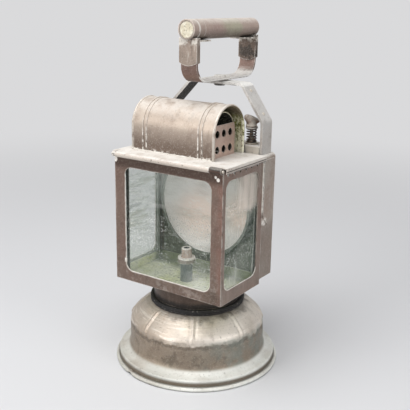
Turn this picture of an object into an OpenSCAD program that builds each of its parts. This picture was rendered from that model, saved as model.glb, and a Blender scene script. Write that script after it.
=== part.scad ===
// Railway acetylene lamp: a carbide base screwed to a square glazed lantern, with an arched
// vent hood on the roof, a water tank behind the reflector and a swivelling carrying handle.
// Millimetres, +Z up, front glass towards -Y, origin on the floor at the base's axis.

/* [Sheet and fits] */
// Thickness of the pressed brass sheet
sheet = 0.9; // [0.7:0.1:1.1]
// Radial clearance of pins, spindles and screwed rings
run_fit = 0.06; // [0.03:0.01:0.09]
// Clearance between pieces that are slipped together and soldered
slip = 0.1; // [0.05:0.05:0.15]
// Clearance between pieces that swing past each other
swing_gap = 0.3; // [0.3:0.05:0.5]

/* [Base] */
// Outer radius of the rolled rim
rim_r = 80; // [76:1:86]
// Radius of the rolled rim's bead
bead_r = 2; // [1.8:0.1:2.2]
// Depth of the flat that the bead stands on
bead_flat = 0.4; // [0.2:0.1:0.5]
// Height of the flange above the floor
flange_z = 10; // [8.5:0.5:12]
// Radius of the cove between flange and wall
cove_r = 9; // [6:0.5:9.5]
// Width of the flange between the skirt and the wall
flange_w = 10.9; // [8:0.1:14]
// Height where the wall turns into the shoulder
shoulder_z = 33; // [28:1:36]
// Height of the flat deck on top of the base
deck_z = 59.5; // [56:0.5:66]
// Width of the flat deck round the spigot
deck_w = 4; // [3.5:0.1:6]
// Number of stamped ribs on the shoulder
rib_count = 8; // [6:1:10]
// Width of a stamped rib in degrees
rib_deg = 2.6; // [1.5:0.1:4]
// Height of a stamped rib
rib_h = 0.8; // [0.4:0.1:1.2]
// Height of the bottom disc above the floor
bottom_z = 3.2; // [2.6:0.1:4]
// Gap between the bottom disc's turned-up edge and the flange
bottom_gap = 1.4; // [0.5:0.1:2]

/* [Carbide basket] */
// Gap between the carbide basket and the spigot's bore
basket_gap = 4; // [2:0.5:8]
// Gap between the basket's lid and the tubes above it
basket_clear = 4; // [2:0.5:8]
// Radius of the mouth in the basket's lid
basket_mouth_r = 13; // [8:0.5:16]
// Radius of the holes in the basket
basket_hole_r = 2; // [1:0.1:2.5]
// Number of holes round the basket
basket_holes = 12; // [8:1:14]

/* [Screwed neck] */
// Outer radius of the screwed spigot
spigot_r = 40; // [38.5:0.1:41]
// Wall of the screwed spigot
spigot_wall = 2; // [1.5:0.1:2.5]
// Height of the spigot above the deck
spigot_h = 16.5; // [13:0.5:19]
// Width of the spigot's flange under the deck
spigot_flange = 2.5; // [1.5:0.1:3]
// Width of the rubber seal outside the spigot
seal_w = 6.5; // [5:0.1:8]
// Height of the rubber seal
seal_h = 5; // [4:0.1:6]
// Depth of the grooves in the rubber seal
seal_groove = 0.8; // [0.4:0.1:1.2]
// Wall of the neck collar
neck_wall = 2.24; // [1.6:0.02:3]
// Height of the neck collar
neck_h = 17.5; // [16.8:0.1:21]
// Thickness of the collar's closed top
neck_top = 1.2; // [0.8:0.1:1.5]

/* [Lantern body] */
// Width of the lantern body
body_w = 119; // [117:0.5:125]
// Height of the lantern body, floor to roof
body_h = 124.6; // [121:0.2:132]
// Distance from the lamp's axis to the front face
front_d = 50.7; // [48.5:0.1:56]
// Distance from the lamp's axis to the front of the tank
tank_d = 16.4; // [15.5:0.1:20]
// Width of the door's stiles beside the window
front_stile = 11.5; // [10.5:0.1:18]
// Height of the front window's sill above the floor
front_sill = 10; // [9.5:0.1:16]
// Distance of the front window below the roof
front_head = 13.6; // [12:0.1:20]
// Corner radius of the windows
win_corner = 8; // [3:0.5:12]
// Width of the side panels' posts between window and tank
side_post = 7.6; // [6:0.1:14]
// Height of a side window's sill above the floor
side_sill = 12; // [10:0.5:18]
// Distance of the side windows below the roof
side_head = 12.6; // [11.5:0.1:20]
// Thickness of the panes
pane_t = 1.8; // [1.2:0.1:2.2]
// Lap of a pane behind its frame
pane_lap = 2; // [1.2:0.1:2]
// Thickness of the pane channels
channel_t = 0.7; // [0.5:0.1:0.8]
// Lip of the pane channels over the glass
channel_lip = 3; // [2:0.1:4]
// Gap between the pane clips and the flange behind the door
stop_gap = 1.8; // [0.5:0.1:2.5]
// Gap between the front pane and the floor's stop lip
lip_gap = 1.6; // [0.6:0.1:3]
// Width of a pane clip's foot
clip_foot = 1.6; // [1:0.1:1.8]
// Reach of a pane clip over the glass
clip_reach = 3.6; // [2.5:0.1:5]
// Height of a pane clip
clip_h = 7; // [4:0.5:10]
// Radius of the small air holes under the roof
air_hole_r = 1.5; // [0.8:0.1:1.6]
// Number of air holes on each side
air_holes = 6; // [4:1:6]
// Distance between air holes
air_pitch = 9.6; // [7:0.1:10]
// Distance of the air holes below the roof
air_drop = 7; // [6:0.1:7.3]

/* [Roof and hinge] */
// Overhang of the roof at each side
roof_lap = 3; // [2:0.1:5]
// Depth of the hems folded down at the sides of the roof
hem_d = 5; // [3.5:0.1:5]
// Radius of the rolled hinge knuckle
knuckle_r = 2.5; // [2.2:0.1:2.8]
// Radius of the hinge pin
pin_r = 1.2; // [1:0.05:1.4]
// Distance of the hinge axis in front of the door's face
hinge_out = 1.8; // [1.4:0.1:2]
// Width of the door's left ear, with its gap
ear_left = 3.5; // [2.5:0.1:8]
// Width of the door's right ear, with its gap
ear_right = 12.5; // [2.5:0.1:18]

/* [Vent hood] */
// Distance of the hood from the left side of the lantern
hood_left = 8.2; // [5:0.1:12]
// Length of the hood
hood_len = 89.4; // [80:0.2:98]
// Radius of the hood's arch
hood_r = 24.5; // [22.5:0.1:25.5]
// Height of the hood above the roof
hood_h = 46.4; // [42:0.2:52]
// Distance of the hood from the tank
hood_back = 1.7; // [1.5:0.1:6]
// Radius of the beads pressed round the hood
hood_bead_r = 0.8; // [0.5:0.1:0.8]
// Distance of the first bead from the hood's end
hood_bead_x = 14; // [8:0.5:18]
// Distance between the two beads of a pair
hood_bead_gap = 4; // [3:0.1:6]
// Radius of the rolled rim at the hood's ends
hood_rim_r = 1.3; // [1:0.1:1.5]
// Radius of the inner flue's arch
flue_r = 17.8; // [16.5:0.1:19]
// Thickness of the inner flue
flue_t = 0.7; // [0.5:0.1:1]
// Depth of the vent plates inside the hood's ends
vent_inset = 6; // [4:0.2:9]
// Height of the vent plates
vent_h = 28.9; // [27:0.1:32]
// Radius of the vent holes
vent_hole_r = 3.4; // [2.4:0.05:3.8]
// Distance between columns of vent holes
vent_pitch = 10.4; // [8.4:0.1:11]
// Height of the lower row of vent holes
vent_row_z = 7; // [5:0.1:9]
// Distance between the rows of vent holes
vent_row_gap = 14; // [9:0.1:14.5]

/* [Water tank] */
// Width of the tank's end covers
cover_w = 5.6; // [5:0.1:8]
// Depth of the tank, front to back
tank_depth = 21.8; // [21.2:0.1:26]
// Height of the tank's bottom above the lantern floor
tank_rise = 4.6; // [3:0.1:6]
// Height of the tank's top above the roof
tank_over = 6.9; // [5:0.1:9]
// Depth of the lid's rim inside the tank
lid_rim_h = 4; // [2:0.1:6]
// Corner radius on top of the tank's end covers
cover_corner = 4; // [2:0.1:4.5]
// Distance of the covers' top below the roof's top
cover_drop = 0.6; // [0.2:0.1:2]
// Thickness of the handle socket plates
socket_t = 1; // [0.6:0.1:1.4]
// Length of the handle socket plates
socket_len = 63; // [50:1:75]
// Length of the socket plates' pointed end
socket_point = 9; // [5:0.5:14]

/* [Reflector and burner] */
// Distance of the reflector's edge from the lantern's side
refl_gap = 9.5; // [8.5:0.1:16]
// Depth of the reflector's dish
refl_depth = 6; // [4:0.1:9]
// Thickness of the reflector
refl_t = 0.8; // [0.6:0.1:1]
// Distance of the reflector's edge below the roof sheet
refl_drop = 3.1; // [2.5:0.1:8]
// Radius of the posts behind the reflector
post_r = 1.2; // [0.8:0.1:1.4]
// Distance of the burner in front of the lamp's axis
burner_d = 19; // [10:0.5:26]
// Radius of the burner holder
burner_r = 5.8; // [5.5:0.1:7.5]
// Height of the burner holder
burner_h = 19; // [15:0.5:25]
// Radius of the burner's bright collar
collar_r = 8.2; // [7.6:0.1:10]
// Height of the burner's bright collar
collar_h = 5; // [3.5:0.1:6.5]
// Height of the burner tip above the collar
tip_h = 9; // [6:0.5:13]
// Radius of the gas tube
gas_r = 4; // [3:0.1:4.4]
// Wall of the gas and water tubes
tube_wall = 0.7; // [0.5:0.1:0.9]
// Distance of the tubes' lower ends below the deck
tube_drop = 6.5; // [4:0.5:8]

/* [Water valve] */
// Distance of the valve from the tank's right end
valve_in = 13.9; // [10:0.1:20]
// Radius of the valve spindle
spindle_r = 1.6; // [1.3:0.1:1.8]
// Gap between the gland and the spring round it
gland_gap = 0.35; // [0.3:0.05:0.6]
// Height of the gland above the tank lid
gland_h = 7.5; // [5:0.5:8]
// Thickness of the gland's flange
gland_flange_t = 1.5; // [1:0.1:2]
// Middle radius of the valve spring
spring_r = 4.3; // [4:0.1:5.4]
// Radius of the spring wire
spring_wire = 0.6; // [0.4:0.05:0.65]
// Height of the valve spring
spring_h = 13; // [12:0.5:16]
// Number of curls in the valve spring
spring_curls = 5; // [3:1:5]
// Thickness of the washers on the valve and the filler
washer_t = 1; // [0.7:0.1:1.4]
// Height of the valve's thumb disc above its washer
thumb_h = 11.8; // [10:0.2:14]
// Radius of the valve's thumb disc
thumb_r = 7.4; // [6.6:0.1:8]
// Thickness of the valve's thumb disc
thumb_t = 3.6; // [3.6:0.1:4.6]
// Length of the needle's cone
needle_h = 3; // [2:0.1:4]
// Travel of the needle from open to closed
valve_travel = 3; // [2:0.1:3]
// Radius of the valve seat
seat_r = 4.5; // [4:0.1:5.5]
// Height of the valve seat under its bore
seat_base = 5.5; // [5:0.1:8]
// Radius of the water tube
water_r = 2; // [1.6:0.1:2.3]
// Distance of the water tube's drop to the right of the lamp's axis
water_x = 14; // [8:0.5:18]

/* [Filler] */
// Distance of the filler from the tank's left end
filler_in = 18.9; // [14:0.1:26]
// Radius of the filler neck
filler_r = 7; // [6:0.1:7.5]
// Wall of the filler neck
filler_wall = 1; // [0.8:0.1:1.3]
// Height of the filler neck above the lid
filler_h = 7; // [6:0.1:9]
// Wall of the filler cap
cap_wall = 2; // [1.6:0.1:2.2]
// Height of the filler cap
cap_h = 8; // [7:0.1:11]
// Number of finger grooves round the filler cap
cap_grooves = 14; // [8:1:16]

/* [Handle] */
// Width of the handle straps
strap_w = 17; // [14:0.2:18]
// Thickness of the fixed frame's strap
frame_t = 2.5; // [2:0.1:3]
// Height of the fixed frame above the roof
frame_h = 62.4; // [58:0.2:68]
// Half width of the fixed frame's flat top, inside
frame_top = 28; // [22:0.5:32]
// Shift of the handle to the right of the lamp's axis
handle_x = 4; // [-6:0.5:6]
// Height of the fixed frame's lower bend above the roof
frame_bend = 28.4; // [22:0.2:34]
// Depth of the fixed frame's legs below the roof
frame_leg = 66; // [50:1:80]
// Inner radius of the frame's bends
frame_bend_r = 5; // [2:0.5:9]
// Radius of the swivel rivet
rivet_r = 3; // [2.4:0.1:3.5]
// Radius of the swivel rivet's heads
rivet_head_r = 5.5; // [5:0.1:6.5]
// Height of the swivel rivet's heads
rivet_head_h = 2; // [1.4:0.1:2.6]
// Radius of the swivel washer
swivel_washer_r = 7; // [6:0.1:8]
// Thickness of the loop's strap
loop_t = 2; // [1.5:0.1:2.5]
// Half width of the loop, outside
loop_half = 50; // [46:0.5:52]
// Radius of the loop's lower corners, outside
loop_corner = 15.5; // [10:0.5:20]
// Height of the grip's axis above the loop's bottom
grip_rise = 46; // [43:0.2:54]
// Radius of the grip
grip_r = 8.8; // [8:0.1:10]
// Length of the grip past the loop at each end
grip_over = 4; // [3:0.1:8]
// Wall of the grip's tube
grip_wall = 0.9; // [0.6:0.1:1.1]
// Length of the grip's front ferrule
ferrule_len = 17; // [13:0.5:24]
// Length of the sleeves on the loop's legs
sleeve_len = 22; // [16:0.5:26]
// Wall of the sleeves
sleeve_wall = 1.4; // [0.9:0.1:1.6]
// Length of the tabs under the grip
tab_len = 18; // [10:0.5:24]
// Thickness of the tabs under the grip
tab_t = 1.4; // [0.9:0.1:1.8]
// Width of the tongues that hold the grip
tongue_w = 8; // [5:0.2:8.6]

/* [Hidden] */
$fn = 96;

// Colours of the finishes
brass_brown = [0.47, 0.42, 0.37];
brass_pale = [0.66, 0.62, 0.56];
brass_dark = [0.27, 0.23, 0.20];
bright_brass = [0.72, 0.65, 0.45];
glass_green = [0.72, 0.78, 0.74, 0.5];
mirror_pale = [0.85, 0.84, 0.80];
rubber_black = [0.10, 0.10, 0.10];
wood_pale = [0.86, 0.82, 0.72];
ceramic_pale = [0.80, 0.76, 0.68];

// Overshoot of cutting tools past the face that they cut
over = 1;
// Radius that a ring's ridge has for its chamfer
ridge = 0.6;

// Heights that the pieces share
neck_z = deck_z + seal_h;
floor_z = neck_z + neck_h;
floor_top = floor_z + sheet;
roof_z = floor_z + body_h;
roof_under = roof_z - sheet;
tank_z = floor_z + tank_rise;
lid_z = roof_z + tank_over;
cover_z = roof_z - cover_drop;
bead_z = bead_r - bead_flat;
bead_mid_r = rim_r - bead_r;
skirt_r = bead_mid_r - 0.75 * bead_r;
wire_r = bead_r - sheet - slip;
wall_r = skirt_r - flange_w;
deck_r = spigot_r + deck_w;
seal_r = spigot_r + seal_w;
neck_r = spigot_r + run_fit + neck_wall;
spigot_top = deck_z + spigot_h;
tube_end = deck_z - tube_drop;

// Places in plan that the pieces share
body_half = body_w / 2;
panel_in = body_half - sheet;
tank_half = body_half - cover_w;
front_win = body_half - front_stile;
front_win_h = body_h - front_sill - front_head;
side_win_h = body_h - side_sill - side_head;
knuckle_left = body_half - ear_left;
knuckle_right = body_half - ear_right;
hood_x = hood_left - body_half;
refl_r = body_half - refl_gap;
refl_mid = roof_under - refl_drop - refl_r;
valve_x = tank_half - valve_in;
filler_x = tank_half - filler_in;
grip_half = loop_half + grip_over;
spring_rings = 8;
gland_r = spring_r * cos(180 / spring_rings) - spring_wire - gland_gap;
front_y = -front_d;
door_in = front_y + sheet;
stop_y = door_in + swing_gap;
tank_y1 = tank_d + tank_depth;
handle_y = tank_d + sheet + slip + strap_w / 2 + 0.1;
hinge_y = front_y - hinge_out;
hinge_z = roof_z - knuckle_r;
hood_y = tank_d - hood_back - hood_r;
hood_x1 = hood_x + hood_len;
hood_spring = roof_z + hood_h - hood_r;
burner_y = -burner_d;
valve_y = tank_d + tank_depth / 2 - 1;
filler_y = valve_y;

// Place of each side pane
pane_out = panel_in - slip;
pane_in = pane_out - pane_t;
pane_y0 = stop_y + sheet + slip + channel_t + slip;
pane_y1 = tank_d - side_post + pane_lap;
pane_z0 = floor_z + side_sill - pane_lap;
pane_z1 = floor_z + side_sill + side_win_h + pane_lap;

// Place of the front pane
front_pane_y = door_in + slip;
front_pane_half = front_win + pane_lap;
stop_x = front_pane_half + slip + clip_foot + stop_gap;
front_pane_z0 = floor_z + front_sill - pane_lap;
front_pane_z1 = floor_z + front_sill + front_win_h + pane_lap;

// Fits of the valve, the filler and the handle
washer_z = lid_z + gland_flange_t + spring_h + slip;
knob_z = washer_z + washer_t + run_fit;
seat_z = tank_z + sheet + slip;
seat_bore_r = spindle_r + swing_gap;
seat_bore_h = valve_travel + needle_h + 2;
seat_h = seat_base + seat_bore_h;
seat_floor = seat_z + seat_base;
drip_r = spindle_r / 2;
needle_tip_r = spindle_r / 4;
needle_sink = needle_h * (drip_r - needle_tip_r) / (spindle_r - needle_tip_r);
needle_z = seat_floor - needle_sink + swing_gap;
water_z = tank_z + sheet + water_r + 0.5;
cap_z = lid_z + 2 * washer_t + run_fit;
frame_in = tank_half + slip;
frame_z = roof_z + frame_h;
washer_top = frame_z + washer_t;
loop_z = washer_top + run_fit;
grip_z = loop_z + grip_rise;
leg_top = grip_z - grip_r - slip;
core_r = grip_r - grip_wall - slip;
rivet_top = loop_z + loop_t + run_fit;

// Unit vector from a to b
function unit(a, b) = (b - a) / norm(b - a);
// A vector turned a quarter turn to the left
function left(v) = [-v[1], v[0]];
// Left normal of segment i of a path, held to the path's own segments
function seg_normal(p, i) =
  let (k = min(max(i, 0), len(p) - 2))
  left(unit(p[k], p[k + 1]));
// Vector that moves a corner so that both its sides move by one
function corner_shift(a, b) = (a + b) / (1 + a * b);
// A path moved to its left by d
function shifted(p, d) =
  [for (i = [0 : len(p) - 1]) p[i] + d * corner_shift(seg_normal(p, i - 1), seg_normal(p, i))];
// The points of a list in the other order
function reversed(p) = [for (i = [len(p) - 1 : -1 : 0]) p[i]];
// Outline of a sheet that follows a path and is d thick to the path's left
function strip(p, d) = concat(p, reversed(shifted(p, d)));
// Points of an arc about c from angle a0 to a1
function arc(c, r, a0, a1, n = 8) =
  [for (i = [0 : n]) let (a = a0 + (a1 - a0) * i / n) c + r * [cos(a), sin(a)]];
// Points of a cubic curve with the four guide points of g
function curve(g, n = 10) =
  [for (i = [0 : n]) let (t = i / n, u = 1 - t)
    u * u * u * g[0] + 3 * u * u * t * g[1] + 3 * u * t * t * g[2] + t * t * t * g[3]];
// Arc of radius r that rounds the corner b of the path a, b, c
function fillet(a, b, c, r, n = 6) =
  let (
    d0 = unit(a, b),
    d1 = unit(b, c),
    turn = atan2(d0[0] * d1[1] - d0[1] * d1[0], d0 * d1),
    side = sign(turn),
    start = b - d0 * r * tan(abs(turn) / 2),
    mid = start + side * r * left(d0),
    a0 = atan2(start[1] - mid[1], start[0] - mid[0])
  )
  arc(mid, r, a0, a0 + turn, n);
// A path whose inner corners are rounded with radius r
function rounded_path(p, r) =
  concat(
    [p[0]],
    [for (i = [1 : len(p) - 2]) each fillet(p[i - 1], p[i], p[i + 1], r)],
    [p[len(p) - 1]]
  );

// Rectangle from corner a to corner b with round corners
module round_window(a, b, r) {
  translate([a[0] + r, a[1]]) square([b[0] - a[0] - 2 * r, b[1] - a[1]]);
  translate([a[0], a[1] + r]) square([b[0] - a[0], b[1] - a[1] - 2 * r]);
  for (x = [a[0] + r, b[0] - r], y = [a[1] + r, b[1] - r]) translate([x, y]) circle(r);
}
// Block from corner a to corner b
module block(a, b) {
  translate(a) cube(b - a);
}
// Tube along Z
module tube(r_out, r_in, h) {
  rotate_extrude() translate([r_in, 0]) square([r_out - r_in, h]);
}
// A drawing in X and Z, carried along Y from y0 to y1
module along_y(y0, y1) {
  translate([0, y1, 0]) rotate([90, 0, 0]) linear_extrude(y1 - y0) children();
}
// A drawing in Y and Z, carried along X from x0 to x1
module along_x(x0, x1) {
  translate([x0, 0, 0]) rotate([90, 0, 90]) linear_extrude(x1 - x0) children();
}
// A round bar along X from x0 to x1
module bar_x(x0, x1, r) {
  translate([x0, 0, 0]) rotate([0, 90, 0]) cylinder(h = x1 - x0, r = r);
}
// A round bar along Y from y0 to y1
module bar_y(y0, y1, r) {
  translate([0, y0, 0]) rotate([-90, 0, 0]) cylinder(h = y1 - y0, r = r);
}
// The right-hand piece mirrored to the left
module on_left() {
  mirror([1, 0, 0]) children();
}

// Outer line of the base from the skirt up to the deck's inner edge
shoulder = curve([[wall_r, shoulder_z], [wall_r, shoulder_z + 7],
                  [deck_r + 9, deck_z - 1], [deck_r, deck_z]]);
skirt_corner_r = 1.5;
cove = min(cove_r, flange_w - skirt_corner_r - 0.1);
base_line = concat(
  [[skirt_r, bead_z]],
  arc([skirt_r - skirt_corner_r, flange_z - skirt_corner_r], skirt_corner_r, 0, 90, 4),
  arc([wall_r + cove, flange_z + cove], cove, 270, 180),
  shoulder,
  [[spigot_r + slip, deck_z]]
);

// Pressed bell of the base, with its rolled rim and stamped ribs
module base_shell() {
  color(brass_brown) {
    difference() {
      union() {
        rotate_extrude() polygon(strip(base_line, sheet));
        rotate_extrude() translate([bead_mid_r, bead_z]) circle(bead_r, $fn = 32);
      }
      rotate_extrude() translate([bead_mid_r, bead_z]) circle(wire_r + slip, $fn = 32);
      translate([0, 0, -bead_r]) cylinder(h = bead_r, r = rim_r + over);
    }
    rib_line = [for (i = [1 : len(shoulder) - 2]) shoulder[i]];
    rib = concat(shifted(rib_line, -rib_h), reversed(shifted(rib_line, sheet / 2)));
    for (i = [0 : rib_count - 1])
      rotate([0, 0, -59 + i * 360 / rib_count - rib_deg / 2])
        rotate_extrude(angle = rib_deg) polygon(rib);
  }
}

// Wire that stiffens the rolled rim
module rim_wire() {
  color(brass_dark) rotate_extrude() translate([bead_mid_r, bead_z]) circle(wire_r, $fn = 24);
}

// Bottom disc with a turned-up edge, soldered inside the skirt
module base_bottom() {
  edge_r = skirt_r - sheet - slip;
  edge_z = flange_z - sheet - bottom_gap;
  color(brass_dark) rotate_extrude() polygon([
    [0, bottom_z], [edge_r, bottom_z], [edge_r, edge_z],
    [edge_r - sheet, edge_z], [edge_r - sheet, bottom_z + sheet],
    [0, bottom_z + sheet]
  ]);
}

// Screwed ring that stands up through the deck
module thread_spigot() {
  flange_t = 1.2;
  z0 = deck_z - sheet - slip - flange_t;
  color(brass_dark) rotate_extrude() polygon([
    [spigot_r - spigot_wall, z0], [spigot_r + spigot_flange, z0],
    [spigot_r + spigot_flange, z0 + flange_t], [spigot_r, z0 + flange_t],
    [spigot_r, spigot_top], [spigot_r - spigot_wall, spigot_top]
  ]);
}

// Floor of the basket on the bottom disc, and its fit under the tubes
basket_z = bottom_z + sheet;
lid_lip_h = 2;
basket_r = spigot_r - spigot_wall - basket_gap;
basket_h = tube_end - basket_clear - lid_lip_h - sheet - basket_z;

// Perforated can that holds the carbide
module carbide_basket() {
  hole_rows = 2;
  color(brass_dark) translate([0, 0, basket_z]) difference() {
    cylinder(h = basket_h, r = basket_r);
    translate([0, 0, sheet]) cylinder(h = basket_h, r = basket_r - sheet);
    for (row = [1 : hole_rows], i = [0 : basket_holes - 1])
      translate([0, 0, row * basket_h / (hole_rows + 1)])
        rotate([0, 0, i * 360 / basket_holes])
          bar_x(basket_r - 2 * sheet, basket_r + over, basket_hole_r);
  }
}

// Flat lid of the basket, with drip holes and a lipped mouth that the carbide goes in by
module basket_lid() {
  ring_r = (basket_r + basket_mouth_r + sheet) / 2;
  drip_holes = 8;
  color(brass_dark) translate([0, 0, basket_z + basket_h]) difference() {
    union() {
      cylinder(h = sheet, r = basket_r);
      cylinder(h = sheet + lid_lip_h, r = basket_mouth_r + sheet);
    }
    translate([0, 0, -over]) cylinder(h = sheet + lid_lip_h + 2 * over, r = basket_mouth_r);
    for (i = [0 : drip_holes - 1])
      rotate([0, 0, (i + 0.5) * 360 / drip_holes])
        translate([ring_r, 0, -over]) cylinder(h = sheet + 2 * over, r = basket_hole_r);
  }
}

// Ridged rubber ring between the deck and the neck
module seal_ring() {
  r_in = spigot_r + swing_gap;
  color(rubber_black) translate([0, 0, deck_z]) rotate_extrude() polygon([
    [r_in, 0], [seal_r - ridge, 0], [seal_r, ridge], [seal_r, seal_h / 2 - seal_groove],
    [seal_r - seal_groove, seal_h / 2], [seal_r, seal_h / 2 + seal_groove],
    [seal_r, seal_h - ridge], [seal_r - ridge, seal_h], [r_in, seal_h]
  ]);
}

// Holes for the gas and water tubes, cut through z0 to z1
module tube_holes(z0, z1) {
  translate([0, burner_y, z0]) cylinder(h = z1 - z0, r = gas_r + slip);
  translate([water_x, valve_y, z0]) cylinder(h = z1 - z0, r = water_r + slip);
}

// Screwed cap that carries the lantern on the base
module neck_collar() {
  bore_r = spigot_r + run_fit;
  color(brass_dark) difference() {
    translate([0, 0, neck_z]) cylinder(h = neck_h, r = neck_r);
    translate([0, 0, neck_z - over]) cylinder(h = neck_h - neck_top + over, r = bore_r);
    tube_holes(floor_z - 2 * neck_top, floor_z + over);
  }
}

// Floor of the lantern with turned-up edges and the door's stop lip
module floor_plate() {
  half = panel_in - slip;
  y1 = tank_d - slip;
  color(brass_pale) difference() {
    union() {
      block([-half, stop_y, floor_z], [half, y1, floor_top]);
      for (x = [-half, half - sheet])
        block([x, stop_y + sheet + slip, floor_z], [x + sheet, y1, pane_z0]);
      block([-half, y1 - sheet, floor_z], [half, y1, pane_z0]);
      block([-front_win, stop_y, floor_z],
            [front_win, stop_y + sheet, front_pane_z0 - lip_gap]);
    }
    tube_holes(floor_z - over, floor_top + over);
  }
}

// Right side of the lantern: window, air holes and the flange behind the door
module side_panel_right() {
  win_y0 = pane_y0 + pane_lap;
  win_y1 = pane_y1 - pane_lap;
  win_z0 = floor_z + side_sill;
  hole_mid = (win_y0 + win_y1) / 2;
  color(brass_brown) difference() {
    union() {
      block([panel_in, stop_y, floor_z], [body_half, tank_d - slip, roof_under]);
      block([stop_x, stop_y, floor_top + slip],
            [body_half, stop_y + sheet, roof_under]);
    }
    along_x(panel_in - over, body_half + over)
      round_window([win_y0, win_z0], [win_y1, win_z0 + side_win_h], win_corner);
    for (i = [0 : air_holes - 1])
      translate([0, hole_mid + (i - (air_holes - 1) / 2) * air_pitch, roof_z - air_drop])
        bar_x(panel_in - over, body_half + over, air_hole_r);
  }
}
module side_panel_left() {
  on_left() side_panel_right();
}

// Right side pane
module pane_right() {
  color(glass_green) block([pane_in, pane_y0, pane_z0], [pane_out, pane_y1, pane_z1]);
}
module pane_left() {
  on_left() pane_right();
}

// Upright channels that hold the front and back edges of the side panes
module pane_channels() {
  lip_in = pane_in - slip - channel_t;
  front_web = pane_y0 - slip - channel_t;
  rear_web = pane_y1 + slip;
  color(brass_pale) for (side = [0, 1]) mirror([side, 0, 0]) {
    block([lip_in, front_web, pane_z0], [panel_in, front_web + channel_t, pane_z1]);
    block([lip_in, front_web, pane_z0], [lip_in + channel_t, front_web + channel_lip, pane_z1]);
    block([lip_in, rear_web, pane_z0], [panel_in, rear_web + channel_t, pane_z1]);
    block([lip_in, rear_web + channel_t - channel_lip, pane_z0],
          [lip_in + channel_t, rear_web + channel_t, pane_z1]);
  }
}

// Hinge bore along X through the knuckles
module hinge_bore() {
  translate([0, hinge_y, hinge_z]) bar_x(-body_w, body_w, pin_r + run_fit);
}

// Roof with side hems, a draught opening and the long rolled knuckle at the front
module roof_plate() {
  half = body_half + roof_lap;
  y1 = tank_d - slip;
  opening_half = flue_r - flue_t - over;
  color(brass_pale) difference() {
    union() {
      block([-half, stop_y, roof_under], [half, y1, roof_z]);
      block([-knuckle_left, hinge_y, roof_under], [knuckle_right, stop_y + over, roof_z]);
      for (x = [-half, half - sheet])
        block([x, stop_y, roof_z - hem_d], [x + sheet, y1, roof_z]);
      translate([0, hinge_y, hinge_z]) bar_x(-knuckle_left, knuckle_right, knuckle_r);
    }
    hinge_bore();
    block([hood_x + vent_inset + over, hood_y - opening_half, roof_under - over],
          [hood_x1 - vent_inset - over, hood_y + opening_half, roof_z + over]);
  }
}

// Pin through the roof's knuckle and the door's ears
module hinge_pin() {
  pin_half = body_half + roof_lap / 2;
  color(brass_pale) translate([0, hinge_y, hinge_z]) bar_x(-pin_half, pin_half, pin_r);
}

// Arch outline of radius r that stands on the roof
module arch(r) {
  translate([hood_y, hood_spring]) intersection() {
    circle(r);
    translate([-r, 0]) square([2 * r, r]);
  }
  translate([hood_y - r, roof_z]) square([2 * r, hood_spring - roof_z]);
}

// Round bead of radius r that follows an arch of radius arch_r at x
module arch_bead(x, arch_r, r) {
  translate([x, hood_y, hood_spring]) rotate([90, 0, 90])
    rotate_extrude(angle = 180) translate([arch_r, 0]) circle(r, $fn = 24);
  for (side = [-1, 1])
    translate([x, hood_y + side * arch_r, roof_z])
      cylinder(h = hood_spring - roof_z, r = r, $fn = 24);
}

// Arched vent hood with rolled rims and pressed beads
module hood_shell() {
  color(brass_brown) {
    difference() {
      along_x(hood_x, hood_x1) arch(hood_r);
      along_x(hood_x - over, hood_x1 + over) arch(hood_r - sheet);
    }
    for (x = [hood_x, hood_x1]) arch_bead(x, hood_r - sheet / 2, hood_rim_r);
    for (x = [hood_x + hood_bead_x, hood_x1 - hood_bead_x], side = [-0.5, 0.5])
      arch_bead(x + side * hood_bead_gap, hood_r, hood_bead_r);
  }
}

// Inner flue under the hood
module flue_liner() {
  x0 = hood_x + vent_inset;
  x1 = hood_x1 - vent_inset;
  color(brass_dark) difference() {
    along_x(x0, x1) arch(flue_r);
    along_x(x0 - over, x1 + over) arch(flue_r - flue_t);
  }
}

// Perforated plate against the flue's end, from x0 to x1
module vent_plate(x0, x1) {
  color(brass_brown) difference() {
    intersection() {
      along_x(x0, x1) arch(flue_r);
      block([x0 - over, hood_y - hood_r, roof_z], [x1 + over, hood_y + hood_r, roof_z + vent_h]);
    }
    for (column = [-1 : 1], row = [0, 1])
      translate([0, hood_y + column * vent_pitch, roof_z + vent_row_z + row * vent_row_gap])
        bar_x(x0 - over, x1 + over, vent_hole_r);
  }
}
module hood_plate_left() {
  vent_plate(hood_x + vent_inset - sheet, hood_x + vent_inset);
}
module hood_plate_right() {
  vent_plate(hood_x1 - vent_inset, hood_x1 - vent_inset + sheet);
}

// Water tank, open at the top
module tank_shell() {
  color(brass_brown) difference() {
    block([-tank_half, tank_d, tank_z], [tank_half, tank_y1, lid_z - sheet]);
    block([-tank_half + sheet, tank_d + sheet, tank_z + sheet],
          [tank_half - sheet, tank_y1 - sheet, lid_z + over]);
    translate([water_x, valve_y, tank_z - over]) cylinder(h = sheet + 2 * over, r = water_r + slip);
  }
}

// Lid of the tank, with a rim inside the walls and holes for the valve and the filler
module tank_lid() {
  rim_out = sheet + slip;
  rim_in = rim_out + sheet;
  z0 = lid_z - sheet - lid_rim_h;
  color(brass_pale) difference() {
    union() {
      block([-tank_half, tank_d, lid_z - sheet], [tank_half, tank_y1, lid_z]);
      difference() {
        block([-tank_half + rim_out, tank_d + rim_out, z0],
              [tank_half - rim_out, tank_y1 - rim_out, lid_z - sheet / 2]);
        block([-tank_half + rim_in, tank_d + rim_in, z0 - over],
              [tank_half - rim_in, tank_y1 - rim_in, lid_z - sheet]);
      }
    }
    translate([valve_x, valve_y, z0]) cylinder(h = lid_z - z0 + over, r = gland_r + slip);
    translate([-filler_x, filler_y, lid_z - 2 * sheet])
      cylinder(h = 2 * sheet + over, r = filler_r + slip);
  }
}

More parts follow.
